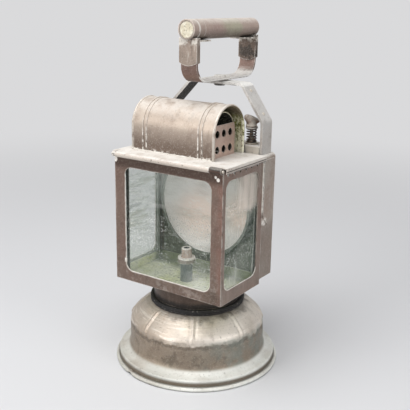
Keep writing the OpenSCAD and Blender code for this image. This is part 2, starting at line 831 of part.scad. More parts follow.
// Right end cover of the tank: a folded channel with a slot for the handle frame's leg
module tank_cover_right() {
  top_line = concat(
    [[body_half, tank_z]],
    arc([body_half - cover_corner, cover_z - cover_corner], cover_corner, 0, 90, 6),
    [[frame_in, cover_z]]
  );
  side_shape = concat(top_line, [[frame_in, tank_z]]);
  color(brass_brown) difference() {
    union() {
      along_y(tank_d, tank_y1) polygon(strip(top_line, sheet));
      along_y(tank_d, tank_d + sheet) polygon(side_shape);
      along_y(tank_y1 - sheet, tank_y1) polygon(side_shape);
      block([frame_in, tank_d, tank_z], [body_half - sheet / 2, tank_y1, tank_z + sheet]);
    }
    block([frame_in - over, handle_y - strap_w / 2 - slip, cover_z - cover_corner],
          [frame_in + frame_t + slip, handle_y + strap_w / 2 + slip, cover_z + over]);
  }
}
module tank_cover_left() {
  on_left() tank_cover_right();
}

// Plate with a pointed end that marks the handle's socket on the cover
module socket_right() {
  top = cover_z - cover_corner;
  half = strap_w / 2;
  color(brass_pale) along_x(body_half, body_half + socket_t) polygon([
    [handle_y - half, top], [handle_y - half, top - socket_len + socket_point],
    [handle_y, top - socket_len], [handle_y + half, top - socket_len + socket_point],
    [handle_y + half, top]
  ]);
}
module socket_left() {
  on_left() socket_right();
}

// Back of the reflector's middle, close to the tank
refl_back = tank_d - 0.5;
// Height of the dish over its middle at radius r
function dish(r) = refl_depth * (r / refl_r) * (r / refl_r);
// Axis of the reflector, with +Z turned to the front
module at_reflector() {
  translate([0, refl_back, refl_mid]) rotate([90, 0, 0]) children();
}
bezel_lip = 1.4;
bezel_back = dish(refl_r - bezel_lip) - slip - sheet;

// Dished reflector
module reflector() {
  steps = 12;
  back = [for (i = [0 : steps]) let (r = refl_r * i / steps) [r, dish(r)]];
  front = [for (p = reversed(back)) [p[0], p[1] + refl_t]];
  color(mirror_pale) at_reflector() rotate_extrude() polygon(concat(back, front));
}

// Folded ring round the reflector's edge
module reflector_bezel() {
  lip_r = refl_r - bezel_lip;
  wall_in = refl_r + slip;
  front = refl_depth + refl_t + slip;
  color(brass_pale) at_reflector() rotate_extrude() polygon([
    [lip_r, bezel_back], [wall_in + sheet, bezel_back], [wall_in + sheet, front + sheet],
    [lip_r, front + sheet], [lip_r, front], [wall_in, front],
    [wall_in, bezel_back + sheet], [lip_r, bezel_back + sheet]
  ]);
}

// Posts between the tank and the reflector's ring
module reflector_posts() {
  post_count = 3;
  color(brass_dark) at_reflector() for (i = [0 : post_count - 1])
    rotate([0, 0, 90 + i * 360 / post_count])
      translate([refl_r - post_r / 2, 0, refl_back - tank_d])
        cylinder(h = bezel_back - refl_back + tank_d, r = post_r, $fn = 32);
}

// Middle of the burner on the lantern floor
module at_burner() {
  translate([0, burner_y, floor_top]) children();
}
holder_pin_h = 2;
holder_pin_r = gas_r + 1;

// Dark stem that holds the burner on the gas tube
module burner_holder() {
  jet_r = 1.5;
  color(brass_dark) at_burner() difference() {
    union() {
      cylinder(h = burner_h, r = burner_r);
      cylinder(h = burner_h + holder_pin_h, r = holder_pin_r);
    }
    translate([0, 0, -over]) cylinder(h = burner_h - 4 + over, r = gas_r + slip);
    cylinder(h = burner_h + holder_pin_h + over, r = jet_r);
  }
}

// Bright collar on the stem
module burner_collar() {
  color(bright_brass) at_burner() translate([0, 0, burner_h]) difference() {
    cylinder(h = collar_h, r = collar_r);
    translate([0, 0, -over]) cylinder(h = collar_h + 2 * over, r = holder_pin_r + slip);
  }
}

// Ceramic tip with its gas jet
module burner_tip() {
  foot_h = collar_h - holder_pin_h;
  tip_r = holder_pin_r - 0.5;
  jet_r = 1.4;
  color(ceramic_pale) at_burner() translate([0, 0, burner_h + holder_pin_h]) difference() {
    union() {
      cylinder(h = foot_h, r = holder_pin_r);
      translate([0, 0, foot_h]) cylinder(h = tip_h, r1 = holder_pin_r, r2 = tip_r);
    }
    translate([0, 0, -over]) cylinder(h = foot_h + tip_h + 2 * over, r = jet_r);
  }
}

// Tube that brings the gas up from the base
module gas_tube() {
  top = floor_top + burner_h - 4;
  color(brass_dark) translate([0, burner_y, tube_end])
    tube(gas_r, gas_r - tube_wall, top - tube_end);
}

// Seat of the needle, on the tank's floor, with a port to the water tube
module valve_seat() {
  port_z = seat_floor + needle_h + drip_r;
  color(brass_dark) difference() {
    translate([valve_x, valve_y, seat_z]) cylinder(h = seat_h, r = seat_r);
    translate([valve_x, valve_y, seat_floor]) cylinder(h = seat_bore_h + over, r = seat_bore_r);
    translate([valve_x, valve_y, water_z]) cylinder(h = seat_floor - water_z + over, r = drip_r);
    translate([0, valve_y, port_z]) bar_x(valve_x - seat_r - over, valve_x + seat_r + over, drip_r);
    translate([0, valve_y, water_z]) bar_x(water_x, valve_x, water_r - tube_wall);
  }
}

// Tube that leads the water along the tank's floor and down to the carbide
module water_tube() {
  bore = water_r - tube_wall;
  color(brass_dark) difference() {
    union() {
      translate([0, valve_y, water_z]) bar_x(water_x, valve_x, water_r);
      translate([water_x, valve_y, water_z]) sphere(water_r);
      translate([water_x, valve_y, tube_end]) cylinder(h = water_z - tube_end, r = water_r);
    }
    translate([0, valve_y, water_z]) bar_x(water_x, valve_x, bore);
    translate([water_x, valve_y, tube_end - over]) cylinder(h = water_z - tube_end + over, r = bore);
    translate([valve_x, valve_y, tank_z]) cylinder(h = 2 * seat_h, r = seat_r + slip);
  }
}

// Gland that guides the spindle through the tank lid
module valve_gland() {
  flange_r = spring_r + 2;
  below = 5;
  color(bright_brass) translate([valve_x, valve_y, lid_z]) difference() {
    union() {
      cylinder(h = gland_flange_t, r = flange_r);
      translate([0, 0, -below]) cylinder(h = below + gland_h, r = gland_r);
    }
    translate([0, 0, -below - over])
      cylinder(h = below + gland_h + 2 * over, r = spindle_r + run_fit);
  }
}

// Middle line of the valve spring: a straight foot, a helix and a straight head
spring_end = 2 * spring_wire;
spring_rise = spring_h - 2 * spring_end - 4 * spring_wire;
function helix_point(i) =
  let (a = 360 * i / spring_rings, s = i / (spring_rings * spring_curls))
  [spring_r * cos(a), spring_r * sin(a), spring_end + 2 * spring_wire + s * spring_rise];
spring_steps = spring_rings * spring_curls;
spring_line = concat(
  [[spring_r, 0, 0], [spring_r, 0, spring_end]],
  [for (i = [1 : spring_steps - 1]) helix_point(i)],
  [[spring_r, 0, spring_h - spring_end], [spring_r, 0, spring_h]]
);
// Ring of points round the tube's middle line at point i
tube_sides = 6;
function tube_tangent(p, i) = unit(p[max(i - 1, 0)], p[min(i + 1, len(p) - 1)]);
function tube_ring(p, i, r) =
  let (
    t = tube_tangent(p, i),
    out = [p[i][0], p[i][1], 0] / norm([p[i][0], p[i][1]]),
    u0 = out - (out * t) * t,
    u = u0 / norm(u0),
    v = cross(t, u)
  )
  [for (k = [0 : tube_sides - 1])
    p[i] + r * (cos(360 * k / tube_sides) * u + sin(360 * k / tube_sides) * v)];
// Least gap between parts of the spring that are over half a curl apart
spring_gap = min([for (i = [0 : len(spring_line) - 1], j = [i + spring_rings / 2 : len(spring_line) - 1])
  norm(spring_line[i] - spring_line[j])]) - 2 * spring_wire;
echo(spring_gap = spring_gap);

// Coil spring that keeps the valve from turning by itself
module valve_spring() {
  rings = len(spring_line);
  points = [for (i = [0 : rings - 1]) each tube_ring(spring_line, i, spring_wire)];
  sides = [for (i = [0 : rings - 2], k = [0 : tube_sides - 1])
    let (
      a = i * tube_sides + k,
      b = i * tube_sides + (k + 1) % tube_sides,
      c = a + tube_sides,
      d = b + tube_sides
    )
    each [[a, c, b], [b, c, d]]];
  last = (rings - 1) * tube_sides;
  foot = [for (k = [1 : tube_sides - 2]) [0, k, k + 1]];
  head = [for (k = [1 : tube_sides - 2]) [last, last + k + 1, last + k]];
  color(brass_dark) translate([valve_x, valve_y, lid_z + gland_flange_t])
    polyhedron(points, concat(sides, foot, head));
}

// Washer between the spring and the knob
module valve_washer() {
  color(bright_brass) translate([valve_x, valve_y, washer_z])
    tube(spring_r + 1.3, spindle_r + run_fit, washer_t);
}

// Depth of the spindle inside the knob
knob_grip = 6;

// Needle spindle from the seat up into the knob
module valve_spindle() {
  color(bright_brass) translate([valve_x, valve_y, needle_z]) {
    cylinder(h = needle_h, r1 = needle_tip_r, r2 = spindle_r);
    translate([0, 0, needle_h]) cylinder(h = knob_z + knob_grip - needle_z - needle_h, r = spindle_r);
  }
}

// Knob with a flat thumb disc on its hub
module valve_knob() {
  hub_r = spring_r + 0.7;
  hub_h = thumb_h - thumb_r;
  facing = 34;
  color(brass_brown) translate([valve_x, valve_y, knob_z]) difference() {
    union() {
      cylinder(h = hub_h, r = hub_r);
      rotate([0, 0, facing]) intersection() {
        translate([0, 0, hub_h]) bar_y(-thumb_t / 2, thumb_t / 2, thumb_r);
        translate([-thumb_r, -thumb_t, 0]) cube([2 * thumb_r, 2 * thumb_t, thumb_h + over]);
      }
    }
    translate([0, 0, -over]) cylinder(h = knob_grip + slip + over, r = spindle_r + slip);
  }
}

// Filler neck through the tank lid
module filler_neck() {
  below = 5;
  flange_r = filler_r + cap_wall;
  color(brass_pale) translate([-filler_x, filler_y, lid_z]) difference() {
    union() {
      translate([0, 0, -below]) cylinder(h = below + filler_h, r = filler_r);
      cylinder(h = washer_t, r = flange_r);
    }
    translate([0, 0, -below - over])
      cylinder(h = below + filler_h + 2 * over, r = filler_r - filler_wall);
  }
}

// Rubber washer under the filler cap
module filler_washer() {
  color(rubber_black) translate([-filler_x, filler_y, lid_z + washer_t])
    tube(filler_r + cap_wall, filler_r + run_fit, washer_t);
}

// Screwed filler cap with finger grooves
module filler_cap() {
  cap_r = filler_r + run_fit + cap_wall;
  cap_top = 1.5;
  groove_r = 0.9;
  color(brass_pale) translate([-filler_x, filler_y, cap_z]) difference() {
    cylinder(h = cap_h, r = cap_r);
    translate([0, 0, -over]) cylinder(h = cap_h - cap_top + over, r = filler_r + run_fit);
    for (i = [0 : cap_grooves - 1])
      rotate([0, 0, i * 360 / cap_grooves])
        translate([cap_r + groove_r / 3, 0, -over]) cylinder(h = cap_h + 2 * over, r = groove_r, $fn = 24);
  }
}

// Fixed frame of the handle: one strap bent over the tank, its legs in the end covers
module handle_frame() {
  z0 = roof_z - frame_leg;
  inside = frame_z - frame_t;
  line = rounded_path([
    [frame_in, z0], [frame_in, roof_z + frame_bend], [handle_x + frame_top, inside],
    [handle_x - frame_top, inside], [-frame_in, roof_z + frame_bend], [-frame_in, z0]
  ], frame_bend_r);
  color(brass_pale) difference() {
    along_y(handle_y - strap_w / 2, handle_y + strap_w / 2) polygon(strip(line, -frame_t));
    translate([handle_x, handle_y, inside - over]) cylinder(h = frame_t + 2 * over, r = rivet_r + slip);
  }
}

// Washer between the fixed frame and the loop
module swivel_washer() {
  color(bright_brass) translate([handle_x, handle_y, frame_z])
    tube(swivel_washer_r, rivet_r + slip, washer_t);
}

// Rivet that the loop swivels on
module swivel_rivet() {
  tail = frame_z - frame_t;
  chamfer = 0.8;
  color(brass_pale) translate([handle_x, handle_y, 0]) rotate_extrude() polygon([
    [0, tail - rivet_head_h], [rivet_head_r - chamfer, tail - rivet_head_h],
    [rivet_head_r, tail - rivet_head_h + chamfer], [rivet_head_r, tail], [rivet_r, tail],
    [rivet_r, rivet_top], [rivet_head_r, rivet_top],
    [rivet_head_r, rivet_top + rivet_head_h - chamfer],
    [rivet_head_r - chamfer, rivet_top + rivet_head_h], [0, rivet_top + rivet_head_h]
  ]);
}

// Glazed front door with ears that turn on the hinge pin
module front_door() {
  z0 = floor_z + swing_gap;
  z1 = hinge_z - knuckle_r - swing_gap;
  win_z0 = floor_z + front_sill;
  ears = [[-body_half, -knuckle_left - swing_gap], [knuckle_right + swing_gap, body_half]];
  color(brass_brown) difference() {
    union() {
      block([-body_half, front_y, z0], [body_half, door_in, z1]);
      for (ear = ears) {
        block([ear[0], front_y, z1 - over], [ear[1], door_in, hinge_z]);
        translate([0, hinge_y, hinge_z]) bar_x(ear[0], ear[1], knuckle_r);
      }
    }
    along_y(front_y - over, door_in + over)
      round_window([-front_win, win_z0], [front_win, win_z0 + front_win_h], win_corner);
    hinge_bore();
  }
}

// Front pane, carried by the door
module pane_front() {
  color(glass_green)
    block([-front_pane_half, front_pane_y, front_pane_z0],
          [front_pane_half, front_pane_y + pane_t, front_pane_z1]);
}

// Folded clips that hold the front pane in the door
module pane_clips() {
  clip_t = 0.7;
  foot_x = front_pane_half + slip;
  back_y = front_pane_y + pane_t + slip;
  margin = 8;
  mid = (front_pane_z0 + front_pane_z1) / 2;
  color(brass_pale) for (side = [0, 1], z = [front_pane_z0 + margin, mid, front_pane_z1 - margin - clip_h])
    mirror([side, 0, 0]) {
      block([foot_x, door_in, z], [foot_x + clip_foot, back_y + clip_t, z + clip_h]);
      block([foot_x - clip_reach, back_y, z], [foot_x + clip_foot, back_y + clip_t, z + clip_h]);
    }
}

// Swivelling loop: one strap bent into a U, with tongues into the grip
module loop_strap() {
  line = rounded_path([
    [handle_y - loop_half, leg_top], [handle_y - loop_half, loop_z],
    [handle_y + loop_half, loop_z], [handle_y + loop_half, leg_top]
  ], loop_corner);
  color(brass_pale) translate([handle_x, 0, 0]) difference() {
    union() {
      along_x(-strap_w / 2, strap_w / 2) polygon(strip(line, loop_t));
      for (y = [handle_y - loop_half, handle_y + loop_half - loop_t])
        block([-tongue_w / 2, y, leg_top - over], [tongue_w / 2, y + loop_t, grip_z]);
    }
    translate([0, handle_y, loop_z - over]) cylinder(h = loop_t + 2 * over, r = rivet_r + run_fit);
  }
}

// Axis of the grip
module at_grip() {
  translate([0, 0, grip_z]) children();
}

// Folded sleeve on the loop's front leg, with a round lower end and a tab under the grip
module sleeve_front() {
  leg = handle_y - loop_half;
  half = strap_w / 2 + slip + sheet;
  y0 = leg - slip - sleeve_wall;
  y1 = leg + loop_t + slip + sleeve_wall;
  z0 = leg_top - sleeve_len;
  saddle = 2;
  round_r = strap_w;
  color(brass_pale) translate([handle_x, 0, 0]) difference() {
    union() {
      intersection() {
        block([-half, y0, z0], [half, y1, leg_top + saddle]);
        union() {
          translate([0, 0, z0 + round_r]) bar_y(y0 - over, y1 + over, round_r);
          block([-half, y0, z0 + round_r], [half, y1, leg_top + saddle]);
        }
      }
      block([-strap_w / 2, y1 - over, leg_top - tab_t], [strap_w / 2, y1 + tab_len, leg_top]);
    }
    block([-strap_w / 2 - slip, leg - slip, z0 - over],
          [strap_w / 2 + slip, leg + loop_t + slip, leg_top + saddle + over]);
    at_grip() bar_y(y0 - over, y1 + over, grip_r + slip);
  }
}
module sleeve_rear() {
  translate([0, 2 * handle_y, 0]) mirror([0, 1, 0]) sleeve_front();
}

// Slots for the loop's tongues, cut from the grip's underside up to z1
module tongue_slots(z1) {
  for (y = [handle_y - loop_half, handle_y + loop_half - loop_t])
    block([-tongue_w / 2 - slip, y - slip, leg_top - over],
          [tongue_w / 2 + slip, y + loop_t + slip, z1]);
}

// Joint between the grip's ferrule and its tube
ferrule_y = handle_y - grip_half + ferrule_len;

// Sheet tube of the grip from y0 to y1
module grip_skin(y0, y1) {
  translate([handle_x, 0, 0]) difference() {
    at_grip() bar_y(y0, y1, grip_r);
    at_grip() bar_y(y0 - over, y1 + over, grip_r - grip_wall);
    tongue_slots(grip_z);
  }
}
module grip_tube() {
  color(brass_brown) grip_skin(ferrule_y + slip, handle_y + grip_half);
}
module grip_ferrule() {
  color(brass_brown) grip_skin(handle_y - grip_half, ferrule_y);
}

// Wooden core of the grip
module grip_core() {
  inset = 0.4;
  color(wood_pale) translate([handle_x, 0, 0]) difference() {
    at_grip() bar_y(handle_y - grip_half + inset, handle_y + grip_half - inset, core_r);
    tongue_slots(grip_z + slip);
  }
}

base_shell();
rim_wire();
base_bottom();
thread_spigot();
carbide_basket();
basket_lid();
seal_ring();
neck_collar();
floor_plate();
side_panel_left();
side_panel_right();
pane_left();
pane_right();
pane_channels();
roof_plate();
hinge_pin();
hood_shell();
flue_liner();
hood_plate_left();
hood_plate_right();
tank_shell();
tank_lid();
tank_cover_left();
tank_cover_right();
socket_left();
socket_right();
reflector();
reflector_bezel();
reflector_posts();
burner_holder();
burner_collar();
burner_tip();
gas_tube();
valve_seat();
water_tube();
valve_gland();
valve_spring();
filler_neck();
handle_frame();
swivel_washer();
swivel_rivet();
front_door();
pane_front();
pane_clips();
valve_washer();
valve_spindle();
valve_knob();
filler_washer();
filler_cap();
loop_strap();
sleeve_front();
sleeve_rear();
grip_tube();
grip_ferrule();
grip_core();
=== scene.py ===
"""Looks of the railway acetylene lamp: aged brass, dusty glass and a plain pale studio. Sizes and places
are in millimetres, and the scale of a noise is the number of its features to the metre."""
from functools import cached_property

import bmesh
import bpy
import numpy as np
from mathutils import Matrix, Vector


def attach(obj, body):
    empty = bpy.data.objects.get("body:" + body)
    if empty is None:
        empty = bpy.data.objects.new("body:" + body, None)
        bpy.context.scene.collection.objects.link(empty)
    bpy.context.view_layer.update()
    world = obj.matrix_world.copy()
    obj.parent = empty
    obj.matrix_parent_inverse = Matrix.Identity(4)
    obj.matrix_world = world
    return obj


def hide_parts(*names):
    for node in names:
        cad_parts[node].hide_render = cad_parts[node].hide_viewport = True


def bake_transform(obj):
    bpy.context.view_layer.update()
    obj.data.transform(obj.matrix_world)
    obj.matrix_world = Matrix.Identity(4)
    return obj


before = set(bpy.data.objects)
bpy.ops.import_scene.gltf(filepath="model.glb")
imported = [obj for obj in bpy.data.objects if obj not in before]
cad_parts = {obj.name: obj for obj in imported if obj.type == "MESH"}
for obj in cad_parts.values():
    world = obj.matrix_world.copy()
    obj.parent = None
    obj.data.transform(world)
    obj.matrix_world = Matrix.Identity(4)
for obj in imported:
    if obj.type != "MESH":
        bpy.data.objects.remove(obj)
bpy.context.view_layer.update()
scene = bpy.context.scene
MM = 0.001
FULL = 2 * np.pi


# Shader sockets that take part in Python arithmetic

class Value:
    """A shader socket. Arithmetic on it adds Math nodes to its finish."""

    def __init__(self, finish, socket):
        self.finish = finish
        self.socket = socket

    def _math(self, operation, first, second):
        return self.finish.node("Math", {"operation": operation}, {0: first, 1: second})

    def __add__(self, other):
        return self._math("ADD", self, other)

    def __sub__(self, other):
        return self._math("SUBTRACT", self, other)

    def __rsub__(self, other):
        return self._math("SUBTRACT", other, self)

    def __mul__(self, other):
        return self._math("MULTIPLY", self, other)

    def __pow__(self, other):
        return self._math("POWER", self, other)

    __radd__ = __add__
    __rmul__ = __mul__

    def clamped(self):
        """The value held between 0 and 1."""
        return self.finish.node("Clamp", {}, {0: self})

    def step(self, low, high):
        """0 below low, 1 above high, and a smooth rise between them."""
        settings = {"interpolation_type": "SMOOTHSTEP"}
        return self.finish.node("MapRange", settings, {0: self, 1: low, 2: high})

    def fall(self, low, high):
        """1 below low, 0 above high, and a smooth fall between them."""
        return 1.0 - self.step(low, high)

    def within(self, low, high, soft):
        """1 between low and high, fading to 0 over the soft distance on both sides."""
        return self.step(low - soft, low) * self.fall(high, high + soft)

    def ragged(self, noise, reach):
        """The value, moved to and fro by a noise across the reach."""
        return self + (noise - 0.5) * reach

    def most(self, other):
        """The larger of two values."""
        return self._math("MAXIMUM", self, other)


def distance(aside, above):
    """The length of two values set square to each other."""
    return (aside * aside + above * above) ** 0.5


class Finish:
    """A material or a world, and the method that adds any node to it."""

    def __init__(self, name, store=bpy.data.materials):
        self.owner = store.new(name)
        self.owner.use_nodes = True
        self.tree = self.owner.node_tree
        self.tree.nodes.clear()

    def node(self, kind, settings=None, links=None, out=0):
        """Adds a node: its settings are set first, then the values or links of its sockets."""
        made = self.tree.nodes.new("ShaderNode" + kind)
        for key, value in (settings or {}).items():
            setattr(made, key, value)
        for key, value in (links or {}).items():
            socket = made.inputs[key]
            if isinstance(value, Value):
                self.tree.links.new(value.socket, socket)
            elif socket.type == "RGBA":
                socket.default_value = (*value, 1.0)
            else:
                socket.default_value = value
        return Value(self, made.outputs[out]) if len(made.outputs) else None

    @cached_property
    def place(self):
        """Where a point lies on the piece, in metres."""
        return self.node("TexCoord", out="Object")

    @cached_property
    def spot(self):
        """The place in millimetres."""
        return self.stretched(1 / MM, 1 / MM, 1 / MM)

    @cached_property
    def xyz(self):
        """The three numbers of the place in millimetres."""
        return self.parts(self.spot)

    @cached_property
    def facing(self):
        """The three numbers of the piece's own normal."""
        return self.parts(self.node("TexCoord", out="Normal"))

    def parts(self, vector):
        """The three numbers of a vector."""
        split = self.node("SeparateXYZ", {}, {0: vector}).socket.node
        return [Value(self, socket) for socket in split.outputs]

    def joined(self, x, y, z):
        """A vector of three values."""
        return self.node("CombineXYZ", {}, {0: x, 1: y, 2: z})

    def stretched(self, x, y, z):
        """The place, stretched by a factor along each axis."""
        return self.node("VectorMath", {"operation": "MULTIPLY"}, {0: self.place, 1: (x, y, z)})

    def noise(self, scale, detail=4.0, rough=0.6, at=None):
        """Cloudy noise, with about scale features to the metre."""
        links = {"Vector": at or self.place, "Scale": scale, "Detail": detail, "Roughness": rough}
        return self.node("TexNoise", {}, links)

    def streaks(self, x, y, z, detail=4.0, rough=0.6):
        """Noise drawn out into streaks, with about x, y and z features to the metre along each axis."""
        return self.noise(1.0, detail, rough, self.stretched(x, y, z))

    def mixed(self, share, first, second):
        """A colour between two colours."""
        return self.node("Mix", {"data_type": "RGBA"}, {0: share, 6: first, 7: second}, out=2)

    def layered(self, colour, layers):
        """A colour under layers, each a pair of how much it covers and its own colour."""
        for share, over in layers:
            colour = self.mixed(share, colour, over)
        return colour

    def near(self, x, y, z, reach, soft):
        """1 within reach of a point, fading to 0 over the soft distance."""
        away = self.node("VectorMath", {"operation": "DISTANCE"}, {0: self.spot, 1: (x, y, z)}, out="Value")
        return away.fall(reach, reach + soft)

    def edges(self, radius):
        """1 on sharp edges and 0 on flat faces, from the turn of a rounded normal."""
        rounded = self.node("Bevel", {"samples": 6}, {"Radius": radius * MM})
        plain = self.node("NewGeometry", out="Normal")
        along = self.node("VectorMath", {"operation": "DOT_PRODUCT"}, {0: rounded, 1: plain}, out="Value")
        return (1.0 - along).step(0.015, 0.16)

    def hollows(self, reach):
        """1 in corners and 0 in the open, from how much of the surroundings is shut out."""
        return 1.0 - self.node("AmbientOcclusion", {"samples": 8}, {"Distance": reach * MM}, out="AO")

    def bump(self, height, depth, below=None):
        """A bumped normal from a height of 0 to 1 that stands for depth, over another normal if given."""
        links = {"Distance": depth * MM, "Height": height}
        if below is not None:
            links["Normal"] = below
        return self.node("Bump", {}, links)

    def surface(self, **links):
        """The Principled shader on the output, and the finished material."""
        names = {"colour": "Base Color", "rough": "Roughness", "metal": "Metallic", "normal": "Normal",
                 "alpha": "Alpha", "ior": "IOR", "gloss": "Specular IOR Level"}
        shader = self.node("BsdfPrincipled", {}, {names[key]: value for key, value in links.items()})
        self.node("OutputMaterial", {}, {"Surface": shader})
        return self.owner


# Surfaces from whole arrays of points

CLOSED = (True, True)
OPEN_ENDS = (False, True)
OPEN_SIDES = (True, False)
MERGE = 2e-6
ALONG_X, ALONG_Y, ALONG_Z = (1.0, 0.0, 0.0), (0.0, 1.0, 0.0), (0.0, 0.0, 1.0)
WIRE_LAPS = 12


def new_mesh(name, points, wrap):
    """A mesh over a grid of points, with shape (rows, columns, 3). Each cell of the grid is one face; wrap
    says whether the last row or column joins the first. Doubles are merged, which closes poles, and the
    faces are turned outwards."""
    rows, columns, _ = points.shape
    row, column = np.meshgrid(np.arange(rows if wrap[0] else rows - 1),
                              np.arange(columns if wrap[1] else columns - 1), indexing="ij")
    next_row = (row + 1) % rows
    next_column = (column + 1) % columns
    faces = np.stack([row * columns + column, next_row * columns + column,
                      next_row * columns + next_column, row * columns + next_column], -1)
    mesh = bpy.data.meshes.new(name)
    mesh.from_pydata((points * MM).reshape(-1, 3), [], faces.reshape(-1, 4))
    work = bmesh.new()
    work.from_mesh(mesh)
    bmesh.ops.remove_doubles(work, verts=work.verts, dist=MERGE)
    bmesh.ops.recalc_face_normals(work, faces=work.faces)
    work.to_mesh(mesh)
    work.free()
    mesh.shade_smooth()
    return mesh


def added(name, data):
    """A new object in the scene."""
    made = bpy.data.objects.new(name, data)
    scene.collection.objects.link(made)
    return made


def place(name, points, body, finish, stands_for=(), wrap=OPEN_ENDS):
    """Puts a surface on a body, if one is named, with its finish and slot, in place of the nodes that it
    stands for."""
    piece = added(name, new_mesh(name, points, wrap))
    piece.data.materials.append(finish)
    if body:
        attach(piece, body)
    if stands_for:
        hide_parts(*stands_for)
    return piece


def around(count):
    """Angles of a full turn at even steps, without its end."""
    return np.linspace(0, FULL, count, endpoint=False)


def swell(away, reach):
    """A bell-shaped swelling: e to the minus square of the distance over the reach."""
    return np.exp(-(away / reach) ** 2)


def arc(middle, radius, start, stop, count):
    """Points of an arc: the middle plus radius times cosine and sine of angles in degrees."""
    turn = np.radians(np.linspace(start, stop, count))
    return np.stack([middle[0] + radius * np.cos(turn), middle[1] + radius * np.sin(turn)], -1)


def ring(radius, count):
    """Points of a circle: radius times cosine and sine of the angles of a full turn."""
    lap = around(count)
    return radius * np.stack([np.cos(lap), np.sin(lap)], -1)


def bezier(points, count):
    """Points of a cubic curve: the four corners weighted by (1-t)^3, 3t(1-t)^2, 3t^2(1-t) and t^3."""
    t = np.linspace(0, 1, count)[:, None]
    p = np.array(points, float)
    return (1 - t) ** 3 * p[0] + 3 * t * (1 - t) ** 2 * p[1] + 3 * t ** 2 * (1 - t) * p[2] + t ** 3 * p[3]


def resampled(line, count):
    """A line of points at even steps along its own length."""
    steps = np.linalg.norm(np.diff(line, axis=0), axis=1)
    along = np.concatenate([[0], np.cumsum(steps)])
    at = np.linspace(0, along[-1], count)
    return np.stack([np.interp(at, along, line[:, k]) for k in range(line.shape[1])], -1)


def directions(line):
    """Unit directions along a line of points, from the step between each point's neighbours."""
    along = np.gradient(line, axis=0)
    return along / np.linalg.norm(along, axis=1)[:, None]


def outward(line):
    """Unit normals of a flat line: its direction turned a quarter to the right."""
    along = directions(line)
    return np.stack([along[:, 1], -along[:, 0]], -1)


def polar(radius, turn, height):
    """Points round the upright axis: radius times cosine and sine of the turn, at the height."""
    return np.stack(np.broadcast_arrays(radius * np.cos(turn), radius * np.sin(turn), height), -1)


def turned(profile, turns):
    """A surface of revolution: each (radius, height) of the profile goes round the upright axis."""
    radius, height = profile.T[:, None]
    return polar(radius, around(turns)[:, None], height)


def carried(path, section, up=ALONG_Z, size=None):
    """A section carried along a path: each point of the section (side, up) is set off from the path along
    the side direction, square to the path and to up, and along the third direction square to both. Size,
    if given, is the section's size at each point of the path."""
    along = directions(path)
    side = np.cross(along, np.array(up))
    side /= np.linalg.norm(side, axis=1)[:, None]
    third = np.cross(side, along)
    across = section[None, :, :1] * side[:, None] + section[None, :, 1:] * third[:, None]
    if size is not None:
        across = across * size[:, None, None]
    return path[:, None] + across


def rounded_bar(half_width, half_depth, corner):
    """The outline of a bar with rounded corners: a quarter arc at each of its four corners."""
    wide, deep = half_width - corner, half_depth - corner
    middles = [(wide, deep), (-wide, deep), (-wide, -deep), (wide, -deep)]
    return np.concatenate([arc(middle, corner, 90 * k, 90 * (k + 1), 6) for k, middle in enumerate(middles)])


def capped(rows):
    """A row of outlines closed at both ends by rows that shrink to the outline's middle."""
    first = rows[:1].mean(1, keepdims=True) + 0 * rows[:1]
    last = rows[-1:].mean(1, keepdims=True) + 0 * rows[-1:]
    return np.concatenate([first, rows, last])


# Colours of dirt, tarnish, crust and wear, and of painted shade and highlights, from dark to light

SOOT = (0.008, 0.007, 0.006)
# BLACK is painted shade: in hem folds, gaps, holes and on shaded faces
BLACK = (0.013, 0.011, 0.009)
# black dirt, and also painted shade under the loop strap and in corners
BLACK_DIRT_AND_SHADE = (0.028, 0.023, 0.018)
HEAD_SHADE_RED = (0.06, 0.036, 0.026)
BLACK_BROWN = (0.06, 0.043, 0.033)
GREEN_BLACK = (0.07, 0.08, 0.04)
DARK_UMBER = (0.082, 0.06, 0.044)
DEEP_BROWN = (0.103, 0.068, 0.051)
EARTH = (0.115, 0.085, 0.066)
DARK_OLIVE = (0.13, 0.105, 0.06)
DARK_MOSS = (0.13, 0.155, 0.09)
SKIRT_BROWN = (0.14, 0.11, 0.08)
SHADED_RED = (0.16, 0.085, 0.06)
BROWN_DIRT = (0.165, 0.12, 0.092)
UMBER = (0.19, 0.13, 0.09)
TARNISH = (0.2, 0.215, 0.165)
GREY_GREEN = (0.22, 0.26, 0.235)
COLLAR_BROWN = (0.24, 0.2, 0.165)
TANK_RED = (0.25, 0.18, 0.14)
VERDIGRIS = (0.26, 0.33, 0.24)
RED_BRASS = (0.27, 0.13, 0.1)
STAIN = (0.3, 0.22, 0.16)
TANK_BROWN = (0.3, 0.235, 0.19)
OLIVE_CRUST = (0.3, 0.3, 0.085)
DRIP_GREY = (0.32, 0.33, 0.27)
HEM_BROWN = (0.34, 0.28, 0.23)
OLIVE_BRASS = (0.36, 0.345, 0.24)
PINK_BRASS = (0.4, 0.28, 0.245)
WORN_BROWN = (0.42, 0.34, 0.26)
RUBBED = (0.46, 0.41, 0.36)
GREEN_DUST = (0.5, 0.5, 0.43)
TAN = (0.52, 0.44, 0.37)
WARM_TAN = (0.56, 0.455, 0.372)
CORNER_LIGHT_GREEN = (0.56, 0.59, 0.53)
CHALK_GREY = (0.6, 0.605, 0.56)
GREY_TAN = (0.62, 0.57, 0.5)
TOP_HIGHLIGHT_TAN = (0.7, 0.63, 0.56)
GREY_DUST = (0.7, 0.665, 0.59)
DULL_METAL = (0.76, 0.715, 0.64)
PALE_METAL = (0.82, 0.78, 0.72)
CREAM = (0.84, 0.78, 0.7)
LIME = (0.86, 0.88, 0.66)
BRIGHT_METAL = (0.87, 0.83, 0.765)
WHITE_CRUST = (0.88, 0.86, 0.82)
YELLOW_LIME = (0.88, 0.86, 0.62)
WHITE_LIME = (0.9, 0.89, 0.8)
CHALK = (0.9, 0.91, 0.86)


# Finishes

